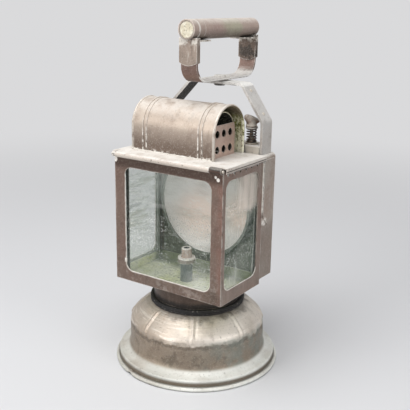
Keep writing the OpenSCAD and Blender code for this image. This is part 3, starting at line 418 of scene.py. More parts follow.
HOOD_Y, HOOD_SPRING_Z = -9.8, 228.5
BURNER_Y = -19.0
GRIP_X, GRIP_Z = 4.0, 316.06
MIRROR_Z = 152.6


def aged_metal(name, main, tint, dark, pale, metal=0.6, rough=0.42, wear=0.85, dust=0.3, grime_and_shade=0.7,
               green=0, rings=0, dents=0.25, patch=16, grain=0.22, marks=None):
    """Brown brass sheet: two tints in patches, dark mottling and streaks, pale worn edges, corners darkened
    with dirt and painted shade, fine dust, and more dust on what faces up. Rings adds turning lines, and
    marks gives a piece's own layers and how thickly they cover the metal."""
    f = Finish(name)
    clouds = f.noise(patch, 5)
    mottle = f.noise(110, 5, 0.62)
    speck = f.noise(480, 3)
    powder = f.noise(980, 2, 0.55)
    streak = f.streaks(140, 140, 16)
    edge = f.edges(radius=1.1) * f.noise(90).step(0.34, 0.58)
    corner = f.hollows(reach=7)
    settled = (f.facing[2].step(0.3, 0.92) * mottle.step(0.25, 0.6) * dust).clamped()
    colour = f.layered(main, [
        (clouds.step(0.36, 0.64), tint),
        (mottle.step(0.48, 0.76) * 0.4, dark),
        (streak.step(0.54, 0.74) * 0.3, dark),
        (streak.fall(0.28, 0.42) * 0.14, pale),
    ])
    cover = 0
    if marks:
        layers, cover = marks(f)
        colour = f.layered(colour, layers)
    if green:
        spots = f.noise(46).step(0.54, 0.7) * (0.35 + corner).clamped() * green
        colour = f.mixed(spots, colour, VERDIGRIS)
    colour = f.layered(colour, [
        (settled, pale),
        (powder.step(0.54, 0.68) * grain, pale),
        (speck.step(0.58, 0.72) * 0.4, dark),
        ((edge * wear).clamped(), pale),
        # corners darkened: dirt in the hollows and painted shade there
        ((corner.step(0.3, 0.95) * grime_and_shade).clamped(), BLACK_DIRT_AND_SHADE),
    ])
    roughness = rough + 0.2 * (mottle - 0.5) + 0.25 * settled + 0.2 * corner - 0.08 * edge + 0.3 * cover
    metalness = metal - 0.5 * settled - 0.3 * corner + 0.15 * edge - 0.6 * cover
    height = 0.55 * clouds + 0.2 * mottle + 0.1 * speck
    normal = f.bump(height, dents, f.bump(f.noise(26, 2, 0.55), dents * 3))
    if rings:
        x, y, z = f.xyz
        lines = f.noise(1, 2, 0.6, f.joined(distance(x, y) * 1.5, z * 1.5, 0))
        normal = f.bump(lines, rings, normal)
    return f.surface(colour=colour, rough=roughness.clamped(), metal=metalness.clamped(), normal=normal,
                     ior=1.45)


def from_hood_axis(f):
    """Distance from the middle of the hood's arch: upright walls below the spring line, a half circle
    above."""
    _, y, z = f.xyz
    return distance(y - HOOD_Y, (z - HOOD_SPRING_Z).most(0))


def crust(f):
    """Yellow-green corrosion low down at the back, with black pits and a whiter foot; dark olive
    elsewhere."""
    _, y, z = f.xyz
    crumbs = f.noise(360, 4, 0.65)
    height = z.ragged(f.noise(90, 3, 0.55), 12)
    foot = height.fall(206, 232)
    low = height.fall(233, 246) * y.step(-4, 4)
    colour = f.layered(BLACK_DIRT_AND_SHADE, [
        (crumbs.step(0.34, 0.46), OLIVE_CRUST),
        ((crumbs + 0.16 * foot).step(0.47, 0.58), YELLOW_LIME),
        (foot * crumbs.step(0.42, 0.54) * 0.7, WHITE_LIME),
    ])
    return f.mixed(low, DARK_OLIVE, colour)


def hood_marks(f):
    """Corrosion inside, a dark foot with white crumbs, and pale metal on the paired beads and the rolled
    ends."""
    x, _, z = f.xyz
    reach = from_hood_axis(f)
    inside = reach.fall(23.85, 24.1)
    foot = z.fall(210, 238)
    beads = (x.within(-40.2, -34.4, 0.6) + x.within(21.2, 27, 0.6)).clamped() * reach.step(24.65, 25.1)
    worn = beads * f.noise(240, 4, 0.65).step(0.4, 0.56) * (1 - 0.7 * z.step(220, 242))
    ends = x.fall(-50.3, -49.9) + x.step(36.7, 37.1)
    crumbs = f.noise(280, 4, 0.65).step(0.52, 0.6) * z.fall(207.2, 210.5)
    return [
        (foot * 0.85, DEEP_BROWN),
        (ends * f.noise(120).step(0.36, 0.56) * 0.6, DULL_METAL),
        (worn.most(crumbs), PALE_METAL),
        (inside, crust(f)),
    ], inside.most(0.5 * worn)


def flue_marks(f):
    """Soot inside the flue, corrosion outside it, and a pale worn edge round its ends."""
    soot = from_hood_axis(f).fall(17.2, 17.4)
    along = f.facing[0]
    end = (along * along).step(0.6, 0.8)
    return [(1, crust(f)), (soot, SOOT), (end, WORN_BROWN)], soot


def roof_marks(f):
    """Stains and pin pricks on top, a browner front, and painted shade along the fold lines of the side hems.
    """
    x, y, z = f.xyz
    front = y.fall(-48, -42)
    stain = f.noise(38, 5, 0.65).step(0.54, 0.68) * f.noise(150).step(0.4, 0.6)
    pricks = f.noise(330, 2, 0.5).step(0.66, 0.7)
    side = (x * x).step(61.9 ** 2, 62.3 ** 2)
    height = z.ragged(f.noise(120, 3, 0.55), 0.6)
    strip = height.within(202.2, 203.3, 0.2)
    fold_shade = (height.within(203.3, 204, 0.12) + height.within(201, 202.1, 0.12)).clamped()
    return [
        (front * 0.65, TAN),
        (stain * 0.5, STAIN),
        (pricks * 0.6, EARTH),
        (side * strip * 0.6, HEM_BROWN),
        # painted shade in the folds above and below the hem strip
        (side * fold_shade * 0.95, BLACK),
    ], 0


def base_marks(f):
    """A brown wall, a paler cone with turning lines painted pale as highlights and a ragged edge, dirt by the
    seal, a chalky flange, a dark skirt, a grey-green bloom on the right, and the cone and flange painted
    lighter on the right as a highlight."""
    x, y, z = f.xyz
    patchy = f.noise(34).step(0.3, 0.6)
    blotch = f.noise(85, 5, 0.65)
    height = z.ragged(f.noise(95), 11)
    # right: where the cone and the flange are painted lighter as a highlight
    right = x.step(0, 45)
    wall = z.within(17, 36, 4) * (0.35 + 0.65 * patchy)
    cone = height.step(37.5, 40) * (0.4 + 0.6 * patchy)
    brink = height.within(35, 37.2, 1)
    turning = f.noise(1, 3, 0.6, f.joined(distance(x, y) * 0.56, x * 0.026, 0)).step(0.52, 0.62)
    dirt = z.ragged(blotch, 14).step(54.5, 58.5) * (0.35 + 0.65 * x.step(-20, 5))
    skirt = z.within(3.8, 8.4, 0.7)
    bloom = x.step(30, 62) * f.noise(60).step(0.35, 0.6) * (1 - 0.9 * z.step(40, 44))
    flange = z.within(9, 12.5, 3) + z.fall(3.4, 3.8)
    flange = (flange * (0.55 + 0.45 * patchy)).clamped()
    return [
        (wall * 0.5, UMBER),
        (wall * blotch.step(0.5, 0.66) * 0.55, DARK_UMBER),
        # the cone is painted paler and creamier to the right as a highlight
        (cone * (0.5 + 0.25 * x.step(-10, 40)), WARM_TAN),
        (cone * right * 0.75, CREAM),
        # turning lines painted pale as the highlights they catch
        (cone * turning * 0.45, CREAM),
        (cone * blotch.step(0.55, 0.7) * 0.4, UMBER),
        (brink * 0.42, DARK_UMBER),
        (bloom * 0.55, GREY_GREEN),
        (dirt * 0.75, BLACK_BROWN),
        (skirt * 0.8, SKIRT_BROWN),
        # the flange is painted brighter on the right as a highlight
        (flange * 0.85, f.mixed(right, CHALK_GREY, CHALK)),
    ], 0.6 * flange


def neck_marks(f):
    """Painted black shade on the neck above the seal, with a ragged upper edge."""
    # black painted shade on the neck just above the seal
    seal_shade = f.xyz[2].ragged(f.noise(130), 6).fall(67.2, 71.5)
    return [(seal_shade * 0.9, BLACK)], 0.4 * seal_shade


def strap_marks(f):
    """Ragged white crust on the loop's bottom and tabs, and painted black shade along the underside."""
    z = f.xyz[2]
    crumbs = f.noise(150, 5, 0.65)
    low = z.ragged(crumbs, 9).fall(273.8, 276.8) * f.facing[2].step(-0.35, -0.05)
    tabs = z.step(304.5, 305.5)
    cover = (low + tabs).clamped() * crumbs.step(0.26, 0.42)
    # painted shade along the loop's underside, over the frame's top bar
    under = z.fall(270.4, 271) * crumbs.step(0.36, 0.5)
    return [(cover * 0.96, WHITE_CRUST), (under * 0.85, BLACK_DIRT_AND_SHADE)], 0.9 * cover


def sleeve_marks(f):
    """The rear sleeve is dark, with black dirt and a white run; the front one has pale runs and a crusted
    top."""
    x, y, z = f.xyz
    rear = y.step(20, 30)
    runs = f.streaks(260, 260, 40, 4, 0.65)
    crumbs = f.noise(170, 4, 0.65)
    high = z.ragged(crumbs, 12).step(302, 306)
    corner = rear * x.step(12.2, 12.8) * y.fall(56.5, 57.5) * z.fall(296, 299)
    crusted = (high * crumbs.step(0.42, 0.54)).most(corner * crumbs.step(0.36, 0.5))
    return [
        (runs.step(0.52, 0.66) * 0.5, BROWN_DIRT),
        (runs.fall(0.34, 0.46) * 0.4, GREY_TAN),
        (rear * 0.84, DEEP_BROWN),
        (rear * f.noise(75, 5, 0.65).step(0.5, 0.6) * 0.8, BLACK_DIRT_AND_SHADE),
        (crusted * 0.8, DULL_METAL),
    ], 0.5 * crusted


def grip_marks(f):
    """Pinkish ends, an olive middle, painted shade on the underside, a painted highlight on the top and a
    ring of crust by the ferrule."""
    _, y, z = f.xyz
    soft = f.noise(60)
    along = y.ragged(soft, 30)
    pink = along.within(-40, 16, 8) + along.within(54, 95, 8)
    olive = along.within(24, 46, 8)
    # painted shade on the grip's lower half
    under = z.ragged(soft, 4).fall(308.5, 317.5)
    band = y.within(-20.8, -19, 0.6) * f.noise(200, 4, 0.65).step(0.36, 0.5)
    return [
        (pink * 0.7, PINK_BRASS),
        (olive * 0.6, OLIVE_BRASS),
        (under * 0.85, DARK_UMBER),
        # painted highlight on the upper side
        (f.facing[2].step(0.3, 0.95) * 0.35, TOP_HIGHLIGHT_TAN),
        (band * 0.8, PALE_METAL),
    ], 0.3 * under


def cover_marks(f):
    """White crust on the covers' top and front edge and under the right socket, and browner brass low
    down."""
    _, y, z = f.xyz
    crumbs = f.noise(140, 4, 0.65)
    high = z.ragged(crumbs, 8).step(202.5, 205.5)
    edge = y.ragged(crumbs, 2).fall(17, 18.5) * z.step(148, 156)
    foot = (1.2 * f.near(60.5, 21, 143, 0, 9) - f.noise(320, 5, 0.7)).step(0.12, 0.24)
    chalk = high.most(edge).most(foot) * crumbs.step(0.3, 0.46)
    return [(z.fall(130, 150) * 0.55, BROWN_DIRT), (chalk * 0.85, PALE_METAL)], 0.7 * chalk


def wall_marks(f):
    """Tarnish, drips and dust inside the lantern, painted light in its upper left corner, and brown brass
    with a dusty ledge outside it.
    """
    x, y, z = f.xyz
    front = y.fall(17.2, 18)
    inside = front * z.fall(205.5, 206.3)
    ledge = front * z.step(205.5, 206.3)
    cloud = f.noise(55, 5, 0.65)
    drips = f.streaks(150, 150, 18)
    dust = f.noise(420, 2, 0.5)
    # a pale patch painted as light in the upper left corner, where the wall lies in shade
    corner = x.fall(-48, -34) * z.step(140, 165)
    brown = f.layered(TANK_BROWN, [
        (f.noise(18, 5).step(0.36, 0.64), TANK_RED),
        (f.noise(95, 5, 0.62).step(0.5, 0.7) * 0.55, EARTH),
        (ledge * 0.8, GREY_DUST),
    ])
    return [
        (cloud.step(0.46, 0.66) * 0.7, TARNISH),
        (drips.step(0.56, 0.7) * 0.5, DRIP_GREY),
        (dust.step(0.6, 0.68) * 0.7, GREEN_DUST),
        (corner * 0.75, CORNER_LIGHT_GREEN),
        (1 - inside, brown),
    ], 0.5 * cloud * inside


def rivet_marks(f):
    """White crust on top of the swivel's rivet and washer, black below."""
    z = f.xyz[2]
    high = z.step(269.5, 271.5) * f.noise(240, 4, 0.65).step(0.36, 0.5)
    return [(z.fall(267.5, 268.5), BLACK_DIRT_AND_SHADE), (high * 0.8, WHITE_CRUST)], 0.7 * high


def floor_marks(f):
    """Drifts of lime dust, black crumbs, most of them by the burner, and a dark green back."""
    y = f.xyz[1]
    drift = f.noise(48, 5, 0.65)
    by_burner = f.near(0, BURNER_Y, 82, 8, 34)
    crumbs = f.noise(420, 5, 0.7).step(0.52, 0.6) * (0.4 + 0.6 * by_burner)
    return [
        (drift.step(0.42, 0.6), LIME),
        (crumbs * 0.85, GREEN_BLACK),
        (y.ragged(drift, 20).step(0, 12) * 0.8, DARK_MOSS),
    ], 0.6 * drift


def frame_marks(f):
    """White crust on the top bar over a black fringe, and the inner faces of the legs painted black as shade.
    """
    x, _, z = f.xyz
    side = 2 * x.step(3, 5) - 1
    # painted shade on the inward faces of the legs
    shade = (f.facing[0] * side).fall(-0.6, -0.3)
    crumbs = f.noise(170, 5, 0.65)
    cover = z.step(265.5, 266.8) * (1 - shade) * crumbs.step(0.3, 0.44)
    fringe = x.within(-18, 26, 3) * z.ragged(crumbs, 2).fall(266.5, 267.1) * z.step(262, 263.5)
    layers = [(cover * 0.94, WHITE_CRUST), (fringe * 0.9, BLACK_DIRT_AND_SHADE), (shade * 0.97, BLACK)]
    return layers, (0.95 * shade).most(0.8 * cover)


def knob_marks(f):
    """Grey dust on the upper side of the thumb knob and painted red-brown shade on its downward faces."""
    up = f.facing[2]
    dust = up.step(-0.3, 0.4) * f.noise(140, 4, 0.65).step(0.26, 0.5)
    # painted shade on the faces that look down
    return [(up.fall(-0.5, 0.2) * 0.6, SHADED_RED), (dust * 0.7, GREY_DUST)], 0.5 * dust


def door_marks(f):
    """Bright worn spots by the hinge ears, a redder right stile, painted shade on the head under the roof's
    overhang, pale rubs low down and a black gap painted as the shade in the open end of the hinge knuckle."""
    x, _, z = f.xyz
    crumbs = f.noise(190, 4, 0.65)
    stile = x.step(52, 58) * f.noise(40, 3, 0.55).step(0.32, 0.62)
    rubs = f.noise(130, 5, 0.65).step(0.5, 0.64) * z.fall(90, 130)
    corner = x.step(30, 55) * z.fall(88, 100)
    spots = f.near(54.5, -50.7, 196, 0, 3.4).most(f.near(52, -50.7, 198, 0, 2.4))
    spots = (spots.most(f.near(-59, -50.7, 199, 0.6, 4)) * 1.3 - crumbs).step(0.16, 0.3)
    ear = x.fall(-56.1, -55.6) * z.step(200, 202)
    worn = spots.most(ear * crumbs.step(0.36, 0.5))
    # black painted shade in the open end of the hinge knuckle
    gap = x.step(44, 45.5) * z.ragged(crumbs, 2).step(204.4, 205.2)
    return [
        (stile * 0.45, RED_BRASS),
        (rubs * 0.35, RUBBED),
        # painted shade on the head under the roof's overhang
        (z.step(188, 196) * 0.85, HEAD_SHADE_RED),
        (corner * 0.5, DARK_UMBER),
        (worn, PALE_METAL),
        (gap * 0.95, BLACK),
    ], worn.most(gap) * 0.5


def collar_marks(f):
    """A bright worn rim round the top of the burner's collar over a browner foot."""
    bright = f.xyz[2].ragged(f.noise(300, 3), 1.2).step(105.2, 105.8)
    return [(0.7, COLLAR_BROWN), (bright, BRIGHT_METAL)], 0.5 * bright


def rubber(name):
    """Black perished rubber: a little grey bloom, coarse crumbling, and specks of pale dust."""
    f = Finish(name)
    bloom = f.noise(90, 5, 0.65)
    crumble = f.noise(330, 4, 0.65)
    dust = f.noise(520, 2, 0.5)
    colour = f.layered((0.012, 0.011, 0.011), [
        (bloom.step(0.46, 0.74), (0.04, 0.036, 0.034)),
        (dust.step(0.62, 0.7) * 0.45, (0.34, 0.32, 0.29)),
    ])
    return f.surface(colour=colour, rough=0.6 + 0.3 * bloom, normal=f.bump(crumble, 0.7))


def dusty_glass(name):
    """Green-tinted glass: a streaked film on the left pane, smears on the front one with a pale patch painted
    as light over the dark back corner seen through it, dust towards the sill, a spray of specks across the
    middle, and runs beneath a warm hazy layer on the right one that is partly a painted reflection."""
    f = Finish(name)
    x, y, z = f.xyz
    streak = f.streaks(18, 18, 150, 4, 0.62)
    drips = f.streaks(210, 210, 13, 3)
    drift = f.noise(20)
    dots = f.node("TexVoronoi", {}, {"Vector": f.place, "Scale": 520}, out="Distance")
    left = x.fall(-58, -50)
    right = x.step(50, 58)
    middle = z.within(132, 165, 20)
    wiped = streak.step(0.46, 0.62) * drift.step(0.34, 0.58) * (0.3 + 0.7 * middle)
    smeared = streak.fall(0.36, 0.46) * middle * left
    film = left * (0.14 + 0.4 * wiped + 0.22 * smeared)
    smear_and_light = f.near(-24, -48.8, 155, 4, 24) * streak.step(0.36, 0.7) * 0.1
    # a pale patch painted as light over the shaded back corner seen through the front pane
    smear_and_light = smear_and_light + f.near(-9, -48.8, 187, 3, 30) * (0.6 + 0.8 * drift) * 0.12
    # a warm hazy layer on the right pane, partly a painted reflection
    haze_and_sheen = right * z.ragged(drift, 30).step(150, 168) * (0.85 + 0.3 * drips.step(0.4, 0.6))
    haze_and_sheen = haze_and_sheen * (0.35 + 0.65 * y.step(-36, -12))
    veil = z.fall(94, 150) * (0.05 + 0.06 * drift.step(0.4, 0.62)) * (1 - 0.2 * right)
    runs = drips.step(0.58, 0.7) * 0.22 * right * z.fall(150, 170)
    sprayed = z.within(122, 142, 26) * drift.step(0.3, 0.55)
    spatter = dots.fall(0.14, 0.32) * (0.05 + 0.45 * sprayed) * (1 - 0.3 * right)
    sill = f.near(36, -49, 88, 2, 24).most(f.near(58, -32, 86, 4, 24)) * 0.16
    rim = f.node("Fresnel", {}, {"IOR": 1.3})
    pale = (0.7 * wiped + 4 * (veil + smear_and_light) + 2 * spatter + 3 * runs + 6 * sill).clamped()
    colour = f.layered((0.16, 0.24, 0.19), [
        (left, (0.84, 0.93, 0.86)),
        (smeared * 0.6, (0.2, 0.24, 0.21)),
        (pale, (0.88, 0.9, 0.85)),
        (haze_and_sheen.clamped(), (0.86, 0.77, 0.68)),
    ])
    alpha = (0.03 + film + veil + runs + spatter + sill + smear_and_light + 0.45 * haze_and_sheen + 0.15 * rim).clamped()
    return f.surface(colour=colour, rough=0.14 + 0.4 * pale, alpha=alpha, ior=1.5, gloss=0.4)


def old_mirror(name):
    """Cloudy silvering with a darker foot, warm patches that are partly a painted reflection, smudges,
    scratches, spots and a rim painted bright as a highlight.
    """
    f = Finish(name)
    x, y, z = f.xyz
    cloud = f.noise(24, 5)
    smudge = f.streaks(26, 26, 80)
    spots = f.noise(260, 4, 0.65)
    slanted = f.joined(x * 0.09 + z * 0.5, y * 0.09, z * 0.03 - x * 0.16)
    scratch = f.noise(1, 2, 0.5, slanted)
    # warm patches: partly smudges and partly a painted reflection where the mirror shines brightest
    warm = (0.85 * f.near(-10, 12, 139, 9, 24)).most(f.near(38, 11, 148, 7, 20))
    warm = warm * cloud.step(0.2, 0.45)
    # painted highlight round the rim
    rim = distance(x, z - MIRROR_Z).step(47.5, 48.5)
    colour = f.layered((0.96, 0.94, 0.9), [
        (cloud.step(0.35, 0.65), (0.88, 0.84, 0.79)),
        (z.fall(112, 135) * 0.3, (0.62, 0.6, 0.56)),
        (warm * 0.9, (0.98, 0.79, 0.67)),
        (smudge.step(0.48, 0.66) * 0.42, (0.58, 0.54, 0.49)),
        (scratch.step(0.58, 0.64) * 0.5, (0.97, 0.95, 0.9)),
        (spots.step(0.62, 0.75) * 0.45, (0.4, 0.35, 0.29)),
        (rim * 0.8, (0.99, 0.97, 0.92)),
    ])
    rough = (0.22 + 0.2 * smudge + 0.08 * cloud).clamped()
    normal = f.bump(f.noise(30, 3, 0.55), 0.25)
    return f.surface(colour=colour, rough=rough, metal=(0.2 - 0.1 * warm).clamped(), normal=normal)


def ceramic(name):
    """Pinkish fired clay with dark stains, a bright ring round its top and a hole painted black as the shade
    inside it.
    """
    f = Finish(name)
    x, y, z = f.xyz
    grain = f.noise(900)
    stain = f.noise(300)
    high = z.ragged(stain, 1).step(114.6, 115.2)
    # the hole painted black as the shade inside it
    hole = high * distance(x, y - BURNER_Y).fall(2.4, 3)
    colour = f.layered((0.5, 0.395, 0.325), [
        (stain.step(0.4, 0.7) * 0.6, (0.2, 0.155, 0.125)),
        (high, BRIGHT_METAL),
        (hole, BLACK),
    ])
    return f.surface(colour=colour, rough=0.7 + 0.2 * grain, normal=f.bump(grain, 0.08))


def end_wood(name):
    """Cream plugging with dark pits, inside a ragged lip of brown brass."""
    f = Finish(name)
    x, _, z = f.xyz
    lumps = f.noise(260, 5, 0.65)
    pits = f.noise(620, 3)
    lip = distance(x - GRIP_X, z - GRIP_Z).ragged(lumps, 2.2).step(6.7, 7.1)
    colour = f.layered((0.66, 0.59, 0.44), [
        (lumps.step(0.36, 0.64), (0.84, 0.79, 0.65)),
        (pits.step(0.56, 0.68) * 0.75, (0.24, 0.19, 0.12)),
        (lip, (0.36, 0.3, 0.245)),
    ])
    normal = f.bump(0.6 * lumps + 0.4 * pits, 1.1)
    return f.surface(colour=colour, rough=0.8 + 0.15 * lumps, normal=normal)


def spring_steel(name):
    """Dark spring wire with brown rust on its outside."""
    f = Finish(name)
    rust = f.noise(420, 4, 0.65)
    colour = f.layered((0.075, 0.062, 0.052), [
        (rust.step(0.4, 0.65), (0.16, 0.1, 0.065)),
        (rust.step(0.62, 0.72) * 0.6, (0.36, 0.32, 0.28)),
    ])
    normal = f.bump(rust, 0.12)
    return f.surface(colour=colour, rough=0.4 + 0.3 * rust, metal=0.7 - 0.4 * rust, normal=normal)


def dress(finish, *names):
    """Gives a finish to CAD nodes, and hands it back."""
    for name in names:
        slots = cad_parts[name].data.materials
        slots.clear()
        slots.append(finish)
    return finish


dress(aged_metal(
    "door_brass", (0.185, 0.134, 0.107), (0.185, 0.12, 0.094), (0.055, 0.038, 0.03), (0.7, 0.64, 0.57),
    wear=1, grain=0.14, marks=door_marks), "front_door")
dress(aged_metal(
    "side_brass", (0.26, 0.2, 0.165), (0.255, 0.17, 0.135), (0.085, 0.062, 0.049), (0.7, 0.64, 0.57),
    grain=0.16), "side_panel_left", "side_panel_right")
dress(aged_metal(
    "roof_brass", (0.78, 0.73, 0.66), (0.7, 0.63, 0.56), (0.26, 0.2, 0.155), (0.86, 0.83, 0.78),
    metal=0.15, dust=0.8, marks=roof_marks), "roof_plate", "tank_lid")
dress(aged_metal(
    "hood_brass", (0.53, 0.445, 0.365), (0.47, 0.38, 0.31), (0.17, 0.125, 0.095), (0.74, 0.69, 0.63),
    metal=0.5, dust=0.75, marks=hood_marks), "hood_shell")
dress(aged_metal(
    "vent_brass", (0.62, 0.46, 0.39), (0.56, 0.4, 0.33), (0.18, 0.13, 0.1), (0.74, 0.68, 0.62),
    metal=0.5), "hood_plate_left", "hood_plate_right")
dress(aged_metal(
    "corroded_brass", (0.3, 0.33, 0.12), (0.42, 0.42, 0.2), (0.09, 0.1, 0.04), (0.68, 0.68, 0.5),
    metal=0.1, rough=0.75, dents=0.5, patch=90, marks=flue_marks), "flue_liner")
dress(aged_metal(
    "tank_brass", (0.4, 0.35, 0.3), (0.36, 0.28, 0.23), (0.14, 0.108, 0.088), (0.84, 0.81, 0.76),
    metal=0.5, marks=cover_marks), "tank_cover_left", "tank_cover_right", "socket_left", "socket_right")
dress(aged_metal(
    "inner_brass", (0.085, 0.09, 0.066), (0.13, 0.135, 0.1), (0.035, 0.038, 0.028), (0.4, 0.4, 0.33),
    metal=0.2, rough=0.6, green=0.2, grain=0.12, marks=wall_marks),
    "tank_shell", "gas_tube", "water_tube", "valve_seat", "reflector_posts")
dress(aged_metal(
    "floor_brass", (0.8, 0.83, 0.47), (0.64, 0.69, 0.36), (0.14, 0.15, 0.07), (0.86, 0.86, 0.76),
    metal=0, rough=0.8, green=0.2, dust=0.2, grime_and_shade=0.3, patch=60, marks=floor_marks), "floor_plate")
dress(aged_metal(
    "neck_brass", (0.085, 0.06, 0.047), (0.11, 0.075, 0.058), (0.03, 0.022, 0.017), (0.3, 0.25, 0.21),
    rings=0.15, grain=0.12, marks=neck_marks),
    "neck_collar", "thread_spigot", "base_bottom", "rim_wire", "carbide_basket", "basket_lid")
dress(aged_metal(
    "strap_brass", (0.18, 0.118, 0.095), (0.21, 0.13, 0.105), (0.07, 0.046, 0.036), (0.62, 0.57, 0.52),
    dust=0.5, marks=strap_marks), "loop_strap")
dress(aged_metal(
    "frame_brass", (0.58, 0.56, 0.53), (0.5, 0.455, 0.41), (0.2, 0.17, 0.148), (0.82, 0.8, 0.77),
    metal=0.4, dust=0.5, marks=frame_marks), "handle_frame")
dress(aged_metal(
    "sleeve_brass", (0.34, 0.295, 0.25), (0.3, 0.235, 0.19), (0.11, 0.085, 0.068), (0.76, 0.71, 0.65),
    metal=0.45, marks=sleeve_marks), "sleeve_front", "sleeve_rear")
dress(aged_metal(
    "grip_brass", (0.58, 0.52, 0.41), (0.51, 0.4, 0.335), (0.2, 0.155, 0.115), (0.76, 0.71, 0.64),
    metal=0.45, dust=0.5, patch=34, marks=grip_marks), "grip_tube", "grip_ferrule")
dress(aged_metal(
    "rivet_brass", (0.5, 0.45, 0.38), (0.44, 0.38, 0.31), (0.18, 0.14, 0.11), (0.84, 0.81, 0.76),
    metal=0.4, marks=rivet_marks), "swivel_washer", "swivel_rivet")
dress(aged_metal(
    "burner_brass", (0.13, 0.155, 0.158), (0.17, 0.19, 0.188), (0.05, 0.06, 0.06), (0.44, 0.46, 0.44),
    metal=0.3, patch=120), "burner_holder")
dress(aged_metal(
    "collar_brass", (0.46, 0.41, 0.35), (0.4, 0.34, 0.28), (0.16, 0.13, 0.1), (0.86, 0.83, 0.77),
    metal=0.3, marks=collar_marks), "burner_collar")
dress(aged_metal(
    "bezel_tin", (0.17, 0.185, 0.155), (0.21, 0.225, 0.19), (0.06, 0.066, 0.055), (0.6, 0.59, 0.53),
    metal=0.3, wear=0.5), "reflector_bezel")
dress(aged_metal(
    "dusty_strip", (0.34, 0.37, 0.33), (0.28, 0.3, 0.26), (0.1, 0.11, 0.09), (0.6, 0.61, 0.56),
    metal=0.2, rough=0.6), "pane_channels")
# near-black strips: painted shade in the gaps beside the window's side edges
shade_strip = dress(aged_metal(
    "shade_strip", (0.03, 0.03, 0.027), (0.05, 0.05, 0.044), (0.014, 0.014, 0.012), (0.22, 0.21, 0.18),
    metal=0.3, rough=0.6, dust=0.1), "pane_clips")
base_brass = dress(aged_metal(
    "base_brass", (0.37, 0.305, 0.235), (0.34, 0.3, 0.24), (0.12, 0.09, 0.066), (0.62, 0.59, 0.53),
    green=0.15, rings=0.3, marks=base_marks), "base_shell")
bright_brass = dress(aged_metal(
    "bright_brass", (0.6, 0.54, 0.45), (0.52, 0.455, 0.37), (0.22, 0.18, 0.14), (0.86, 0.83, 0.77),
    rough=0.36), "hinge_pin", "valve_gland", "valve_spindle")
knob_brass = dress(aged_metal(
    "knob_brass", (0.4, 0.3, 0.235), (0.44, 0.32, 0.255), (0.14, 0.1, 0.075), (0.68, 0.62, 0.55),
    metal=0.4, dents=0.4, patch=120, marks=knob_marks), "valve_knob", "filler_cap", "filler_neck")
solder_crust = dress(aged_metal(
    "solder_crust", (0.8, 0.77, 0.71), (0.68, 0.63, 0.56), (0.34, 0.28, 0.22), (0.88, 0.86, 0.82),
    metal=0.1, rough=0.65, green=0.15, grime_and_shade=0.3, patch=120), "valve_washer")
seal_rubber = dress(rubber("seal_rubber"), "seal_ring", "filler_washer")
silvered = dress(old_mirror("silvered"), "reflector")
valve_wire = dress(spring_steel("valve_wire"), "valve_spring")
dress(dusty_glass("pane_glass"), "pane_left", "pane_right", "pane_front")
dress(ceramic("jet_clay"), "burner_tip")
dress(end_wood("grip_wood"), "grip_core")


# Base

SHEET = 0.9
SKIRT_R, WALL_R, DECK_R, BORE_R = 76.5, 65.6, 44.0, 40.1
FOOT_Z, SKIRT_Z, FLANGE_Z, WALL_Z, DECK_Z = 1.6, 8.0, 10.0, 33.0, 59.5
CORNER_R, COVE_R = 1.5, 9.0
BREAK_R, BREAK_Z = WALL_R - 4.6, 47.2
BELL_ROWS, BELL_TURNS = 170, 420
RIB_START, RIB_STEP = np.radians(-59.0), FULL / 8
RIB_LOW_Z, RIB_INNER_R, RIB_HIGH, RIB_WIDE = 39.0, 46.5, 0.85, 1.1
GROOVE_AWAY, GROOVE_DEEP, GROOVE_WIDE = 2.6, 0.35, 0.9
RIDGE_Z, FOLD_Z = 37.5, 40.5
DENT_SQUASH = 1.4 ** 0.5
BELL_DENTS = [(-78, 46.0, 7.0, 0.9), (-28, 30.0, 6.0, 0.8), (-112, 27.0, 8.0, 0.9), (15, 44.0, 6.0, 0.8),
              (-55, 24.0, 7.0, 0.7), (70, 30.0, 9.0, 1.0), (130, 40.0, 8.0, 0.9), (200, 26.0, 8.0, 0.9),
              (-95, 36.0, 5.0, 0.7), (-10, 37.0, 5.0, 0.8), (255, 34.0, 6.0, 0.8)]
ROLL_R, ROLL_THICK = 78.0, 1.9
ROLL_TURNS, ROLL_LAPS = 300, 28
KNOCK = np.radians(252.0)


def bell_profile():
    """The bell's profile from its foot up: skirt, flange, cove, wall, shoulder, cone and deck, as straight
    lines, two arcs and two cubic curves, at even steps."""
    skirt = np.array([[SKIRT_R, FOOT_Z], [SKIRT_R, SKIRT_Z]])
    corner = arc((SKIRT_R - CORNER_R, FLANGE_Z - CORNER_R), CORNER_R, 0, 90, 8)
    cove = arc((WALL_R + COVE_R, FLANGE_Z + COVE_R), COVE_R, 270, 180, 20)
    shoulder = bezier([(WALL_R, WALL_Z), (WALL_R, 40.0), (WALL_R - 0.9, 43.8), (BREAK_R, BREAK_Z)], 28)
    cone = bezier([(BREAK_R, BREAK_Z), (BREAK_R - 4.6, 51.4), (DECK_R + 7.0, DECK_Z - 2.6),
                   (DECK_R, DECK_Z)], 30)
    deck = np.array([[BORE_R, DECK_Z]])
    return resampled(np.concatenate([skirt, corner, cove, shoulder, cone[1:], deck]), BELL_ROWS)


